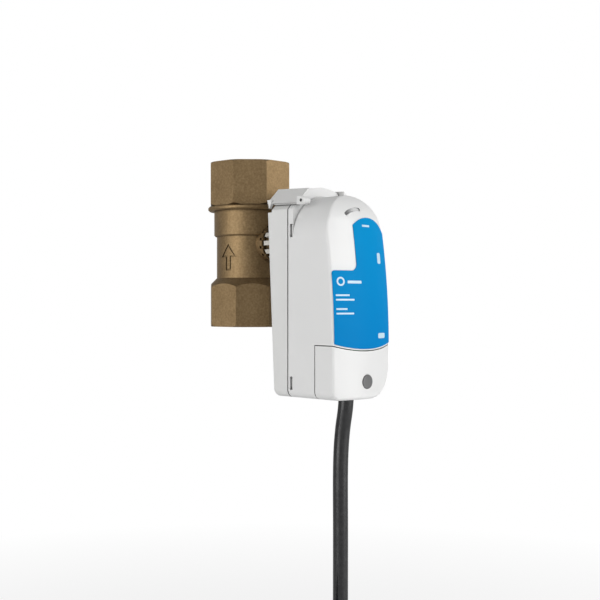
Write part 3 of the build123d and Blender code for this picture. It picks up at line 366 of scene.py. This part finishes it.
class Finish(Protocol):
    """What every finish below can do."""

    def build(self) -> bpy.types.Material:
        """Builds the finish's material.

        Returns:
            The material.
        """


@dataclass(frozen=True)
class MouldedPlastic:
    """An injection-moulded plastic with a fine spark-eroded grain, and shade painted into its seams and gaps
    where crease is set.

    Attributes:
        name: The material's name.
        colour: The base colour.
        shade: How much darker the slow colour variation gets, as a share.
        roughness: The middle roughness.
        grain: Grain features per metre.
        depth: The grain's depth.
        coat: The clear gloss over it.
        crease: How dark the painted shade in its seams and gaps gets, from 0 to 1.
        crease_reach: How far the walls of a gap paint shade on each other.
        coat_roughness: The clear gloss's roughness.
        swing: How far the roughness strays to either side.
        clouds: Features per metre of the slow colour variation.
    """

    name: str
    colour: Colour
    shade: float = 0.03
    roughness: float = 0.45
    grain: float = 2600.0
    depth: float = 0.006 * MM
    coat: float = 0.0
    crease: float = 0.0
    crease_reach: float = 1.3 * MM
    coat_roughness: float = 0.12
    swing: float = 0.05
    clouds: float = 45.0

    def build(self) -> bpy.types.Material:
        """Builds the material.

        Returns:
            The material.
        """
        graph = Graph(self.name)
        dark = tuple(c * (1 - self.shade) for c in self.colour)
        slow = graph.noise(self.clouds, 4.0)
        colour = graph.ramp(slow, [(0.3, dark), (0.7, self.colour)])
        # Painted shade: an ambient occlusion node darkens the seams and gaps.
        if self.crease:
            colour = graph.paint_crease_shade(colour, self.crease_reach, self.crease)
        low, high = self.roughness - self.swing, self.roughness + self.swing
        graph.set(Base_Color=colour, Roughness=graph.spread(graph.noise(180.0), low, high),
                  Coat_Weight=self.coat, Coat_Roughness=self.coat_roughness)
        graph.bump([(graph.noise(self.grain, 2.0), self.depth), (slow, self.depth)])
        return graph.material


@dataclass(frozen=True)
class CastBrass:
    """Hot-stamped brass: blasted and dulled outside, bright and threaded in its two ports, with shade painted
    into its corners.

    Attributes:
        name: The material's name.
        bright: The metal's freshly cut colour.
        dull: The middle of the cast skin.
        light: The skin's lightest patches.
        stain: The darkest stains of the skin.
        speck_share: How much the fine specks count in the skin; the broad patches are the rest.
        cut_roughness: The freshly cut metal's roughness.
        crease: How dark the painted shade in its corners gets, from 0 to 1.
        crease_reach: How far a corner's walls paint shade on each other.
        port_radius: The radius within which the metal is cut.
        pitch: The pipe thread's pitch.
        thread_depth: The pipe thread's depth.
    """

    name: str
    bright: Colour = (0.5, 0.36, 0.17)
    dull: Colour = (0.245, 0.166, 0.083)
    light: Colour = (0.318, 0.224, 0.118)
    stain: Colour = (0.178, 0.117, 0.055)
    speck_share: float = 0.6
    cut_roughness: float = 0.25
    crease: float = 0.7
    crease_reach: float = 1.6 * MM
    port_radius: float = 12.3 * MM
    pitch: float = 1.814 * MM
    thread_depth: float = 0.9 * MM

    def build(self) -> bpy.types.Material:
        """Builds the material.

        Returns:
            The material.
        """
        graph = Graph(self.name)
        patches = graph.noise(140.0, 6.0)
        skin = graph.ramp(graph.mix_values(self.speck_share, patches, graph.noise(1300.0, 4.0)),
                          [(0.3, self.stain), (0.5, self.dull), (0.7, self.light)])
        cut = graph.calculate("LESS_THAN", graph.from_axis(), self.port_radius)
        colour = graph.mix_colours(cut, skin, (*self.bright, 1.0))
        rough = graph.mix_values(cut, graph.spread(patches, 0.46, 0.58), self.cut_roughness)
        # Painted shade: an ambient occlusion node darkens the brass in its corners.
        graph.set(Base_Color=graph.paint_crease_shade(colour, self.crease_reach, self.crease), Roughness=rough,
                  Metallic=0.9)
        thread = graph.calculate("MULTIPLY", self.thread_height(graph), cut)
        graph.bump([(graph.noise(1900.0, 3.0), 0.04 * MM), (graph.noise(420.0, 4.0), 0.06 * MM),
                    (thread, self.thread_depth)])
        return graph.material

    def thread_height(self, graph: Graph) -> Socket:
        """Makes the height of a thread that repeats along the pipe axis.

        Args:
            graph: The material's graph.

        Returns:
            A triangle wave from 0 to 1 over each pitch.
        """
        wave = graph.calculate("PINGPONG", graph.part(graph.coords, Axis.Z), self.pitch / 2)
        return graph.calculate("MULTIPLY", wave, 2 / self.pitch)


@dataclass(frozen=True)
class WorkedMetal:
    """A turned, drawn or brushed metal with a fine grain along one axis.

    Attributes:
        name: The material's name.
        colour: The metal's colour.
        roughness: The middle roughness.
        grain_axis: The axis that the grain runs along.
        grain: Grain lines per metre across that axis.
        depth: The grain's depth.
        grain_scale: The scale along that axis, which draws the lines out.
        darkest: The darkest clouds' brightness, as a share of the colour.
    """

    name: str
    colour: Colour
    roughness: float = 0.3
    grain_axis: Axis = Axis.Y
    grain: float = 5200.0
    depth: float = 0.004 * MM
    grain_scale: float = 0.03
    darkest: float = 0.82

    def build(self) -> bpy.types.Material:
        """Builds the material.

        Returns:
            The material.
        """
        graph = Graph(self.name)
        stretch = tuple(self.grain_scale if axis is self.grain_axis else 1.0 for axis in Axis)
        clouds = graph.noise(160.0, 5.0)
        dark = tuple(c * self.darkest for c in self.colour)
        graph.set(Base_Color=graph.ramp(clouds, [(0.35, dark), (0.65, self.colour)]),
                  Roughness=graph.spread(clouds, self.roughness - 0.06, self.roughness + 0.08),
                  Metallic=1.0)
        graph.bump([(graph.noise(self.grain, 2.0, graph.stretched(stretch)), self.depth)])
        return graph.material


@dataclass(frozen=True)
class SoftRubber:
    """A soft black jacket or seal: dull, with a skin that catches a long highlight.

    Attributes:
        name: The material's name.
        colour: The base colour.
        roughness: The middle roughness.
        wave: Slow waves of the skin per metre.
        shine: The strength of its highlights.
        dust: How much lighter its dust is.
    """

    name: str
    colour: Colour
    roughness: float = 0.42
    wave: float = 420.0
    shine: float = 0.3
    dust: float = 0.012

    def build(self) -> bpy.types.Material:
        """Builds the material.

        Returns:
            The material.
        """
        graph = Graph(self.name)
        dusty = tuple(c + self.dust for c in self.colour)
        low, high = self.roughness - 0.05, self.roughness + 0.07
        graph.set(Base_Color=graph.ramp(graph.noise(700.0, 5.0), [(0.4, self.colour), (0.75, dusty)]),
                  Roughness=graph.spread(graph.noise(240.0), low, high), Specular_IOR_Level=self.shine)
        graph.bump([(graph.noise(3200.0, 2.0), 0.006 * MM), (graph.noise(self.wave), 0.03 * MM)])
        return graph.material


@dataclass(frozen=True)
class LabelFilm:
    """A printed polyester label with a matt lacquer, slightly darker towards the bottom.

    Attributes:
        name: The material's name.
        colour: The ink's colour at the upper end.
        lower_colour: The slightly darker colour at the lower end.
        lower_end: The height up to which it has that darker colour.
        upper_end: The height from which it has its own colour.
    """

    name: str
    colour: Colour
    lower_colour: Colour
    lower_end: float = -8.0 * MM
    upper_end: float = 42.0 * MM

    def build(self) -> bpy.types.Material:
        """Builds the material.

        Returns:
            The material.
        """
        graph = Graph(self.name)
        # The base colour darkens slightly towards the bottom.
        place = graph.along(Axis.Z, self.lower_end, self.upper_end)
        graph.set(Base_Color=graph.ramp(place, [(0.0, self.lower_colour), (1.0, self.colour)]),
                  Roughness=graph.spread(graph.noise(600.0), 0.4, 0.5), Specular_IOR_Level=0.03)
        graph.bump([(graph.noise(1400.0, 2.0), 0.003 * MM)])
        return graph.material


@dataclass(frozen=True)
class BoardLacquer:
    """Green solder mask over copper tracks that run along X and Z.

    Attributes:
        name: The material's name.
        mask: The colour of the mask over bare board.
        track: The colour of the mask over copper.
    """

    name: str
    mask: Colour = (0.01, 0.12, 0.045)
    track: Colour = (0.03, 0.24, 0.09)

    def build(self) -> bpy.types.Material:
        """Builds the material.

        Returns:
            The material.
        """
        graph = Graph(self.name)
        turned = graph.add("ShaderNodeMapping")
        graph.feed(turned.inputs["Rotation"], (math.pi / 2, 0.0, 0.0))
        graph.feed(turned.inputs["Vector"], graph.coords)
        bricks = graph.add("ShaderNodeTexBrick")
        for name, source in (("Vector", turned.outputs["Vector"]), ("Scale", 220.0), ("Mortar Size", 0.06),
                             ("Brick Width", 1.3), ("Row Height", 0.4), ("Color1", (*self.mask, 1.0)),
                             ("Color2", (*self.mask, 1.0)), ("Mortar", (*self.track, 1.0))):
            graph.feed(bricks.inputs[name], source)
        graph.set(Base_Color=bricks.outputs["Color"], Roughness=graph.spread(graph.noise(500.0), 0.22, 0.32))
        graph.bump([(bricks.outputs["Fac"], 0.03 * MM)])
        return graph.material


@dataclass(frozen=True)
class ThreeCores:
    """The insulation of three cores that lie side by side along X.

    Attributes:
        name: The material's name.
        middle: Where the middle core lies along X.
        half_gap: Half the distance from one core to the next.
        colours: The three cores' colours from -X to +X.
    """

    name: str
    middle: float
    half_gap: float
    colours: tuple[Colour, Colour, Colour]

    def build(self) -> bpy.types.Material:
        """Builds the material.

        Returns:
            The material.
        """
        graph = Graph(self.name)
        place = graph.along(Axis.X, self.middle - 3 * self.half_gap, self.middle + 3 * self.half_gap)
        colour = graph.ramp(place, list(zip((0.0, 0.34, 0.66), self.colours)))
        colour.node.color_ramp.interpolation = "CONSTANT"
        graph.set(Base_Color=colour, Roughness=graph.spread(graph.noise(900.0), 0.3, 0.4))
        graph.bump([(graph.noise(2400.0), 0.004 * MM)])
        return graph.material


@dataclass(frozen=True)
class MilkyWindow:
    """A milky polycarbonate window, darker towards its left end, through which the dial shows dimly.

    Attributes:
        name: The material's name.
        dark_end_colour: The darker colour of its left end.
        milky: The colour of the rest.
        dark_until: The place along X up to which it has the darker colour.
        milky_start: The place along X from which it is milky.
        transmission: How much light it lets through.
        ior: Its index of refraction.
    """

    name: str
    dark_end_colour: Colour = (0.26, 0.26, 0.26)
    milky: Colour = (0.95, 0.95, 0.95)
    dark_until: float = -5.0 * MM
    milky_start: float = -1.5 * MM
    transmission: float = 0.35
    ior: float = 1.49

    def build(self) -> bpy.types.Material:
        """Builds the material.

        Returns:
            The material.
        """
        graph = Graph(self.name)
        # The base colour darkens towards the window's left end.
        place = graph.along(Axis.X, self.dark_until, self.milky_start)
        graph.set(Base_Color=graph.ramp(place, [(0.0, self.dark_end_colour), (1.0, self.milky)]),
                  Roughness=graph.spread(graph.noise(500.0), 0.08, 0.14),
                  Transmission_Weight=self.transmission, IOR=self.ior)
        return graph.material


@dataclass(frozen=True)
class PrintedDial:
    """A pale dial whose raised arms are printed dark.

    Attributes:
        name: The material's name.
        face_depth: The depth of the dial's face, in front of which the arms stand.
        dark_from: How far in front of the face the print is fully dark.
        pale_to: How far in front of the face it is still pale.
        pale: The dial's colour.
        dark: The arms' colour.
    """

    name: str
    face_depth: float = 54.0 * MM
    dark_from: float = 0.15 * MM
    pale_to: float = 0.05 * MM
    pale: Colour = (0.88, 0.88, 0.87)
    dark: Colour = (0.01, 0.01, 0.01)

    def build(self) -> bpy.types.Material:
        """Builds the material.

        Returns:
            The material.
        """
        graph = Graph(self.name)
        place = graph.along(Axis.Y, -self.face_depth - self.dark_from, -self.face_depth - self.pale_to)
        graph.set(Base_Color=graph.ramp(place, [(0.0, self.dark), (1.0, self.pale)]),
                  Roughness=graph.spread(graph.noise(300.0), 0.42, 0.5))
        graph.bump([(graph.noise(2600.0, 2.0), 0.006 * MM)])
        return graph.material


@dataclass(frozen=True)
class Finishes:
    """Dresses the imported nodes, finish by finish.

    Attributes:
        finishes: Each finish and the nodes that take it.
    """

    finishes: tuple[tuple[Finish, tuple[str, ...]], ...] = (
        (CastBrass("cast_brass"), ("valve_body", "end_connector")),
        (WorkedMetal("polished_ball", (0.78, 0.78, 0.8), 0.08), ("ball",)),
        (WorkedMetal("turned_brass", (0.72, 0.55, 0.27)),
         ("stem", "frame_pillars", "drive_socket", "motor_pinion")),
        (MouldedPlastic("seat_plastic", (0.84, 0.84, 0.81)),
         ("inlet_ball_seat", "outlet_ball_seat", "stem_washer")),
        (SoftRubber("seal_rubber", (0.015, 0.015, 0.015)), ("connector_seal", "stem_o_rings", "cable_grommet")),
        (SoftRubber("gasket_rubber", (0.13, 0.128, 0.125), 0.6), ("housing_seal",)),
        (MouldedPlastic("collar_plastic", (0.62, 0.6, 0.55), 0.08), ("snap_collar",)),
        (WorkedMetal("zinc_steel", (0.62, 0.63, 0.64)),
         ("retaining_clip", "frame_screws", "gear_pins", "motor_screws", "board_screws",
          "terminal_screws", "switch_arms", "tail_ferrules")),
        # The lever pins are given a dark steel so that they show as a dark dot at the lever's lower front
        # corner.
        (WorkedMetal("dark_steel", (0.08, 0.08, 0.08), 0.45), ("lever_pins",)),
        (WorkedMetal("rolled_steel", (0.55, 0.56, 0.57), 0.34, Axis.Z),
         ("rear_gear_plate", "front_gear_plate", "motor_can", "radio_module")),
        # case_grey, case_white and button_grey take painted shade in their seams and gaps through crease.
        (MouldedPlastic("case_grey", (0.7, 0.7, 0.69), 0.025, 0.42, crease=0.75),
         ("rear_housing", "release_lever")),
        (MouldedPlastic("case_white", (0.73, 0.73, 0.725), 0.02, 0.42, crease=0.75),
         ("front_housing", "terminal_cover")),
        (LabelFilm("label_blue", (0.0, 0.255, 0.56), (0.0, 0.2, 0.51)), ("label_panel",)),
        (MilkyWindow("window_milky"), ("indicator_window",)),
        (PrintedDial("printed_dial"), ("indicator_pointer",)),
        (MouldedPlastic("button_grey", (0.125, 0.125, 0.125), 0.1, 0.36, crease=0.6), ("push_button",)),
        (MouldedPlastic("gear_plastic", (0.78, 0.75, 0.66), 0.05, 0.35),
         ("output_gear", "idler_gear_one", "idler_gear_two", "switch_cam")),
        (MouldedPlastic("black_plastic", (0.025, 0.025, 0.027), 0.2),
         ("limit_switches", "controller_chip", "tact_switch", "cable_tie", "relay")),
        (BoardLacquer("board_lacquer"), ("circuit_board",)),
        (MouldedPlastic("terminal_green", (0.05, 0.3, 0.12), 0.06), ("terminal_block",)),
        (MouldedPlastic("capacitor_sleeve", (0.02, 0.025, 0.07), 0.1, 0.25, coat=0.5), ("capacitor",)),
        (MouldedPlastic("core_brown", BROWN, 0.1, 0.32), ("line_wire",)),
        (MouldedPlastic("core_blue", BLUE, 0.1, 0.32), ("neutral_wire",)),
        (MouldedPlastic("core_green", GREEN, 0.1, 0.32), ("earth_wire",)),
        (ThreeCores("tail_cores", -3.05 * MM, 2.6 * MM, (BROWN, BLUE, GREEN)), ("tail_wires",)),
    )

    def dress(self, nodes: dict[str, bpy.types.Object]) -> None:
        """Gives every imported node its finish.

        Args:
            nodes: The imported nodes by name.
        """
        for finish, names in self.finishes:
            material = finish.build()
            for name in names:
                dress(nodes[name], material)
                LOG.info("%s takes %s", name, material.name)


@dataclass
class MainsLead:
    """The black mains lead: it hangs from the case, and its spare length is a tied coil.

    Attributes:
        radius: The jacket's radius.
        leaves: Where the jacket leaves the case.
        route: Points from the terminals down to the coil.
        coil_radius: The first turn's radius.
        pitch: The step from one turn or layer to the next.
        turns_in: Turns that spiral in before the coil spirals out.
        turns: All the turns.
        climb: The part of a turn in which the coil changes layer.
        points_per_turn: Control points in each turn.
        length: The jacket's whole length.
    """

    radius: float = 2.8 * MM
    leaves: Point = (0.0, -52.3 * MM, -25.2 * MM)
    route: tuple[Point, ...] = (
        (0.0, -52.3 * MM, -23.0 * MM),
        (0.0, -52.3 * MM, -28.0 * MM),
        (0.1 * MM, -50.2 * MM, -37.5 * MM),
        (-0.1 * MM, -49.4 * MM, -50.0 * MM),
        (0.2 * MM, -49.3 * MM, -75.0 * MM),
        (-0.1 * MM, -49.5 * MM, -97.0 * MM),
        (0.0, -49.4 * MM, -116.0 * MM),
        (0.0, -49.4 * MM, -127.4 * MM),
    )
    coil_radius: float = 37.2 * MM
    pitch: float = 6.1 * MM
    turns_in: float = 2.25
    turns: float = 4.0
    climb: float = 0.5
    points_per_turn: int = 16
    length: float = 862.1 * MM

    def coil_point(self, turns: float) -> Vector:
        """Works out one control point of the coil.

        Args:
            turns: Turns made since the coil's start.

        Returns:
            The point, moved out so that the smooth line keeps the turn's radius.
        """
        middle = Vector(self.route[-1]) - Vector((self.coil_radius, 0.0, 2 * self.radius))
        spiral = self.coil_radius - self.pitch * (self.turns_in - abs(turns - self.turns_in))
        rise = min(max((turns - self.turns_in) / self.climb + 0.5, 0.0), 1.0)
        layer = self.pitch * rise * rise * (3 - 2 * rise)
        angle = 2 * math.pi * turns
        reach = spiral
        if 0 < turns < self.turns:
            reach = spiral / math.cos(math.pi / self.points_per_turn)
        return middle + Vector((reach * math.cos(angle), layer, -reach * math.sin(angle)))

    def points(self) -> list[Vector]:
        """Lists the lead's control points from the case to the bare end.

        Returns:
            The points in order.
        """
        steps = int(self.turns * self.points_per_turn)
        coil = [self.coil_point(i / self.points_per_turn) for i in range(steps + 1)]
        end = coil[-1] - Vector((0.0, 0.0, 2 * self.radius))
        return [Vector(p) for p in self.route] + coil + [end]

    def build(self, nodes: dict[str, bpy.types.Object]) -> bpy.types.Object:
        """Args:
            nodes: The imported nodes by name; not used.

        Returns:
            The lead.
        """
        curve = bpy.data.curves.new("mains_lead", "CURVE")
        curve.dimensions = "3D"
        curve.bevel_depth = self.radius
        curve.bevel_resolution = 6
        curve.resolution_u = 6
        curve.use_fill_caps = True
        spline = curve.splines.new("NURBS")
        points = self.points()
        spline.points.add(len(points) - 1)
        for target, point in zip(spline.points, points):
            target.co = (*point, 1.0)
        spline.order_u = 3
        spline.use_endpoint_u = True
        lead = bpy.data.objects.new("mains_lead", curve)
        bpy.context.scene.collection.objects.link(lead)
        curve.materials.append(SoftRubber("cable_jacket", (0.006, 0.006, 0.007), 0.22, shine=0.6).build())
        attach(lead, ROOT_BODY)
        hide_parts("cable", "cable_coil")
        return lead


@dataclass
class LabelPrint:
    """Plain white marks on the label, with nothing to read.

    Attributes:
        stem_height: The height of the stem axis, from which marks are placed.
        start: How far in front of the label a mark starts before it is laid on.
        lift: How far the ink's back lies over the film.
        ink: The ink's thickness.
        ring_hole: The width of a ring's hole, as a share of the ring's.
        rounding: The rounding of a bar's corners, as a share of its smaller side.
        marks: Each mark's name and shape, its middle (x, rise), and its width and height in millimetres.
    """

    stem_height: float = 32.5 * MM
    start: float = -75.0 * MM
    lift: float = 0.015 * MM
    ink: float = 0.03 * MM
    ring_hole: float = 0.62
    rounding: float = 0.3
    marks: tuple[tuple[str, Print, float, float, float, float], ...] = (
        ("upper_bar", Print.BAR, 2.6, 4.9, 4.2, 0.75),
        ("side_bar", Print.BAR, 9.1, -6.7, 2.2, 4.0),
        ("middle_ring", Print.RING, -11.6, -15.4, 3.2, 3.2),
        ("middle_bar", Print.BAR, -5.6, -15.6, 6.4, 1.0),
        ("line_one", Print.BAR, -11.0, -20.3, 5.6, 0.6),
        ("line_two", Print.BAR, -10.0, -21.9, 7.6, 0.6),
        ("line_three", Print.BAR, -11.6, -25.2, 4.4, 0.6),
        ("line_four", Print.BAR, -10.2, -26.8, 7.2, 0.6),
        ("lower_bar", Print.BAR, 8.5, -35.0, 4.6, 1.9),
    )

    def build(self, label: bpy.types.Object) -> list[bpy.types.Object]:
        """Builds every mark and lays it on the label.

        Args:
            label: The label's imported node.

        Returns:
            The marks.
        """
        ink = MouldedPlastic("label_ink", (0.5, 0.68, 0.79), 0.05, 0.4, 3000.0, 0.003 * MM).build()
        made = []
        for name, shape, x, rise, width, height in self.marks:
            place = Vector((x * MM, self.start, self.stem_height + rise * MM))
            piece = self.shape(shape, place, width * MM, height * MM)
            piece.name = "print_" + name
            self.lay(piece, label)
            finish_piece(piece, ink, ROOT_BODY)
            made.append(piece)
        return made

    def shape(self, shape: Print, place: Vector, width: float, height: float) -> bpy.types.Object:
        """Models one flat mark that faces -Y.

        Args:
            shape: A bar or a ring.
            place: The mark's middle.
            width: Its width along X.
            height: Its height along Z.

        Returns:
            The flat mark, with its place in its mesh.
        """
        clear_selection()
        if shape is Print.RING:
            bpy.ops.mesh.primitive_circle_add(vertices=40, radius=width / 2, location=place,
                                              rotation=(math.pi / 2, 0.0, 0.0))
            piece = bpy.context.object
            bpy.ops.object.mode_set(mode="EDIT")
            bpy.ops.mesh.select_all(action="SELECT")
            bpy.ops.mesh.extrude_edges_move()
            bpy.ops.transform.resize(value=(self.ring_hole,) * 3, center_override=place)
            bpy.ops.object.mode_set(mode="OBJECT")
            bpy.ops.object.transform_apply()
            return piece
        bpy.ops.mesh.primitive_plane_add(size=1.0, location=place, rotation=(math.pi / 2, 0.0, 0.0))
        piece = bpy.context.object
        piece.scale = (width, height, 1.0)
        bpy.ops.object.transform_apply()
        bpy.ops.object.mode_set(mode="EDIT")
        bpy.ops.mesh.select_all(action="SELECT")
        bpy.ops.mesh.bevel(affect="VERTICES", offset=min(width, height) * self.rounding, segments=4)
        bpy.ops.mesh.select_all(action="SELECT")
        bpy.ops.mesh.quads_convert_to_tris()
        bpy.ops.mesh.subdivide(number_cuts=3)
        bpy.ops.object.mode_set(mode="OBJECT")
        return piece

    def lay(self, piece: bpy.types.Object, label: bpy.types.Object) -> None:
        """Presses a flat mark onto the label and gives the ink its thickness.

        Args:
            piece: The flat mark.
            label: The label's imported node.
        """
        wrap = piece.modifiers.new("wrap", "SHRINKWRAP")
        wrap.target = label
        wrap.wrap_method = "PROJECT"
        wrap.use_project_x = wrap.use_project_z = False
        wrap.use_project_y = True
        wrap.use_negative_direction = wrap.use_positive_direction = True
        wrap.offset = self.lift
        thick = piece.modifiers.new("ink", "SOLIDIFY")
        thick.thickness = self.ink
        thick.offset = 1.0
        apply_modifiers(piece)


@dataclass
class Studio:
    """The pale floor, the soft lights and the camera.

    Attributes:
        floor_gap: How far the floor lies under the hanging coil.
        floor_size: The floor's width.
        floor_reach: The two distances from the pipe axis between which the floor brightens.
        floor_glow: How much of plain white the camera sees in the floor, at these two distances.
        sky_height: The heights in the sky between which its fill fades.
        sky_fill: The sky's strength at these two heights.
        eye: The camera's place.
        lens: The camera's focal length in millimetres.
        turn: The camera's turn about Z.
        lamps: Each lamp's name, place, the point that it faces, size and power.
    """

    floor_gap: float = 6.0 * MM
    floor_size: float = 12.0
    floor_reach: Span = (0.08, 0.5)
    floor_glow: Span = (0.62, 1.0)
    sky_height: Span = (0.05, 0.8)
    sky_fill: Span = (0.6, 0.22)
    eye: Point = (-0.28988, -0.31821, 0.0105)
    lens: float = 64.32
    turn: float = math.radians(-45.0)
    lamps: tuple[tuple[str, Point, Point, float, float], ...] = (
        ("key", (0.4, -1.05, 0.22), (0.0, -0.03, 0.0), 0.7, 8.6),
        ("side", (-1.0, 0.05, 0.05), (0.0, -0.03, 0.0), 0.7, 5.6),
        ("top", (0.25, 0.25, 1.1), (0.0, -0.03, 0.0), 0.7, 1.2),
    )

    def build(self) -> None:
        """Builds the floor, the lights, the world and the camera."""
        low = min(corner[2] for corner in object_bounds())
        clear_selection()
        bpy.ops.mesh.primitive_grid_add(x_subdivisions=8, y_subdivisions=8, size=self.floor_size,
                                        location=(0.0, 0.0, low - self.floor_gap))
        floor = bpy.context.object
        floor.name = "floor"
        bpy.ops.object.transform_apply()
        floor.data.materials.append(self.floor_material())
        floor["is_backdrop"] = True
        self.light()
        self.world()
        self.camera()

    def floor_material(self) -> bpy.types.Material:
        """Builds a pale floor that the camera sees nearly white, with its shadows kept.

        Returns:
            The material.
        """
        graph = Graph("pale_floor")
        stops = [(0.3, (0.86, 0.86, 0.86)), (0.7, (0.88, 0.88, 0.88))]
        graph.set(Base_Color=graph.ramp(graph.noise(3.0), stops), Roughness=0.8)
        glow = graph.add("ShaderNodeEmission")
        graph.feed(glow.inputs["Strength"], 1.0)
        seen = graph.add("ShaderNodeLightPath").outputs["Is Camera Ray"]
        far = graph.remap(graph.from_axis(), self.floor_reach, self.floor_glow)
        mix = graph.add("ShaderNodeMixShader")
        sources = (graph.calculate("MULTIPLY", seen, far), graph.shader.outputs[0], glow.outputs[0])
        for target, source in zip(mix.inputs, sources):
            graph.feed(target, source)
        graph.feed(graph.output.inputs["Surface"], mix.outputs[0])
        return graph.material

    def light(self) -> None:
        """Hangs the soft square lamps."""
        for name, place, target, size, power in self.lamps:
            lamp = bpy.data.lights.new(name, "AREA")
            lamp.size = size
            lamp.energy = power
            holder = bpy.data.objects.new(name, lamp)
            holder.location = place
            holder.rotation_euler = (Vector(target) - Vector(place)).to_track_quat("-Z", "Y").to_euler()
            bpy.context.scene.collection.objects.link(holder)

    def world(self) -> None:
        """Makes the world white to the camera, and elsewhere a soft fill that is dimmer overhead."""
        world = bpy.data.worlds.new("studio")
        bpy.context.scene.world = world
        world.use_nodes = True
        nodes = Nodes(world.node_tree)
        path = nodes.add("ShaderNodeLightPath")
        seen = nodes.calculate("MAXIMUM", path.outputs["Is Camera Ray"], path.outputs["Is Transmission Ray"])
        height = nodes.part(nodes.add("ShaderNodeTexCoord").outputs["Generated"], Axis.Z)
        fill = nodes.remap(height, self.sky_height, self.sky_fill)
        back = nodes.tree.nodes["Background"]
        nodes.feed(back.inputs["Color"], (1.0, 1.0, 1.0, 1.0))
        nodes.feed(back.inputs["Strength"], nodes.remap(seen, (0.0, 1.0), (fill, 1.0)))

    def camera(self) -> None:
        """Stands the camera where the photograph was taken."""
        lens = bpy.data.cameras.new("camera")
        lens.lens = self.lens
        lens.clip_start = 0.01
        holder = bpy.data.objects.new("camera", lens)
        holder.location = self.eye
        holder.rotation_euler = (math.pi / 2, 0.0, self.turn)
        bpy.context.scene.collection.objects.link(holder)
        bpy.context.scene.camera = holder


def clear_selection() -> None:
    """Deselects everything before a new piece is modelled."""
    if bpy.context.object and bpy.context.object.mode != "OBJECT":
        bpy.ops.object.mode_set(mode="OBJECT")
    bpy.ops.object.select_all(action="DESELECT")


def dress(piece: bpy.types.Object, material: bpy.types.Material) -> None:
    """Gives a piece one material in place of all it had.

    Args:
        piece: The piece.
        material: Its new material.
    """
    piece.data.materials.clear()
    piece.data.materials.append(material)


def apply_modifiers(piece: bpy.types.Object) -> None:
    """Applies a piece's modifiers in order.

    Args:
        piece: The piece, which becomes the only one selected.
    """
    clear_selection()
    piece.select_set(True)
    bpy.context.view_layer.objects.active = piece
    for modifier in list(piece.modifiers):
        bpy.ops.object.modifier_apply(modifier=modifier.name)


def finish_piece(piece: bpy.types.Object, material: bpy.types.Material, body: str) -> None:
    """Dresses a new piece and ties it to its body.

    Args:
        piece: The new piece.
        material: Its material.
        body: The body that it rides on.
    """
    dress(piece, material)
    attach(piece, body)


def main() -> None:
    """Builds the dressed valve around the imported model."""
    logging.basicConfig(level=logging.INFO, format="%(message)s")
    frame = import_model()
    nodes = frame["nodes"]
    bpy.context.scene.view_settings.view_transform = "Standard"
    Studio().build()
    lead = MainsLead().build(nodes)
    LOG.info("%s hangs from the case", lead.name)
    Finishes().dress(nodes)
    for piece in LabelPrint().build(nodes["label_panel"]):
        LOG.info("%s is printed on the label", piece.name)


if __name__ == "__main__":
    main()
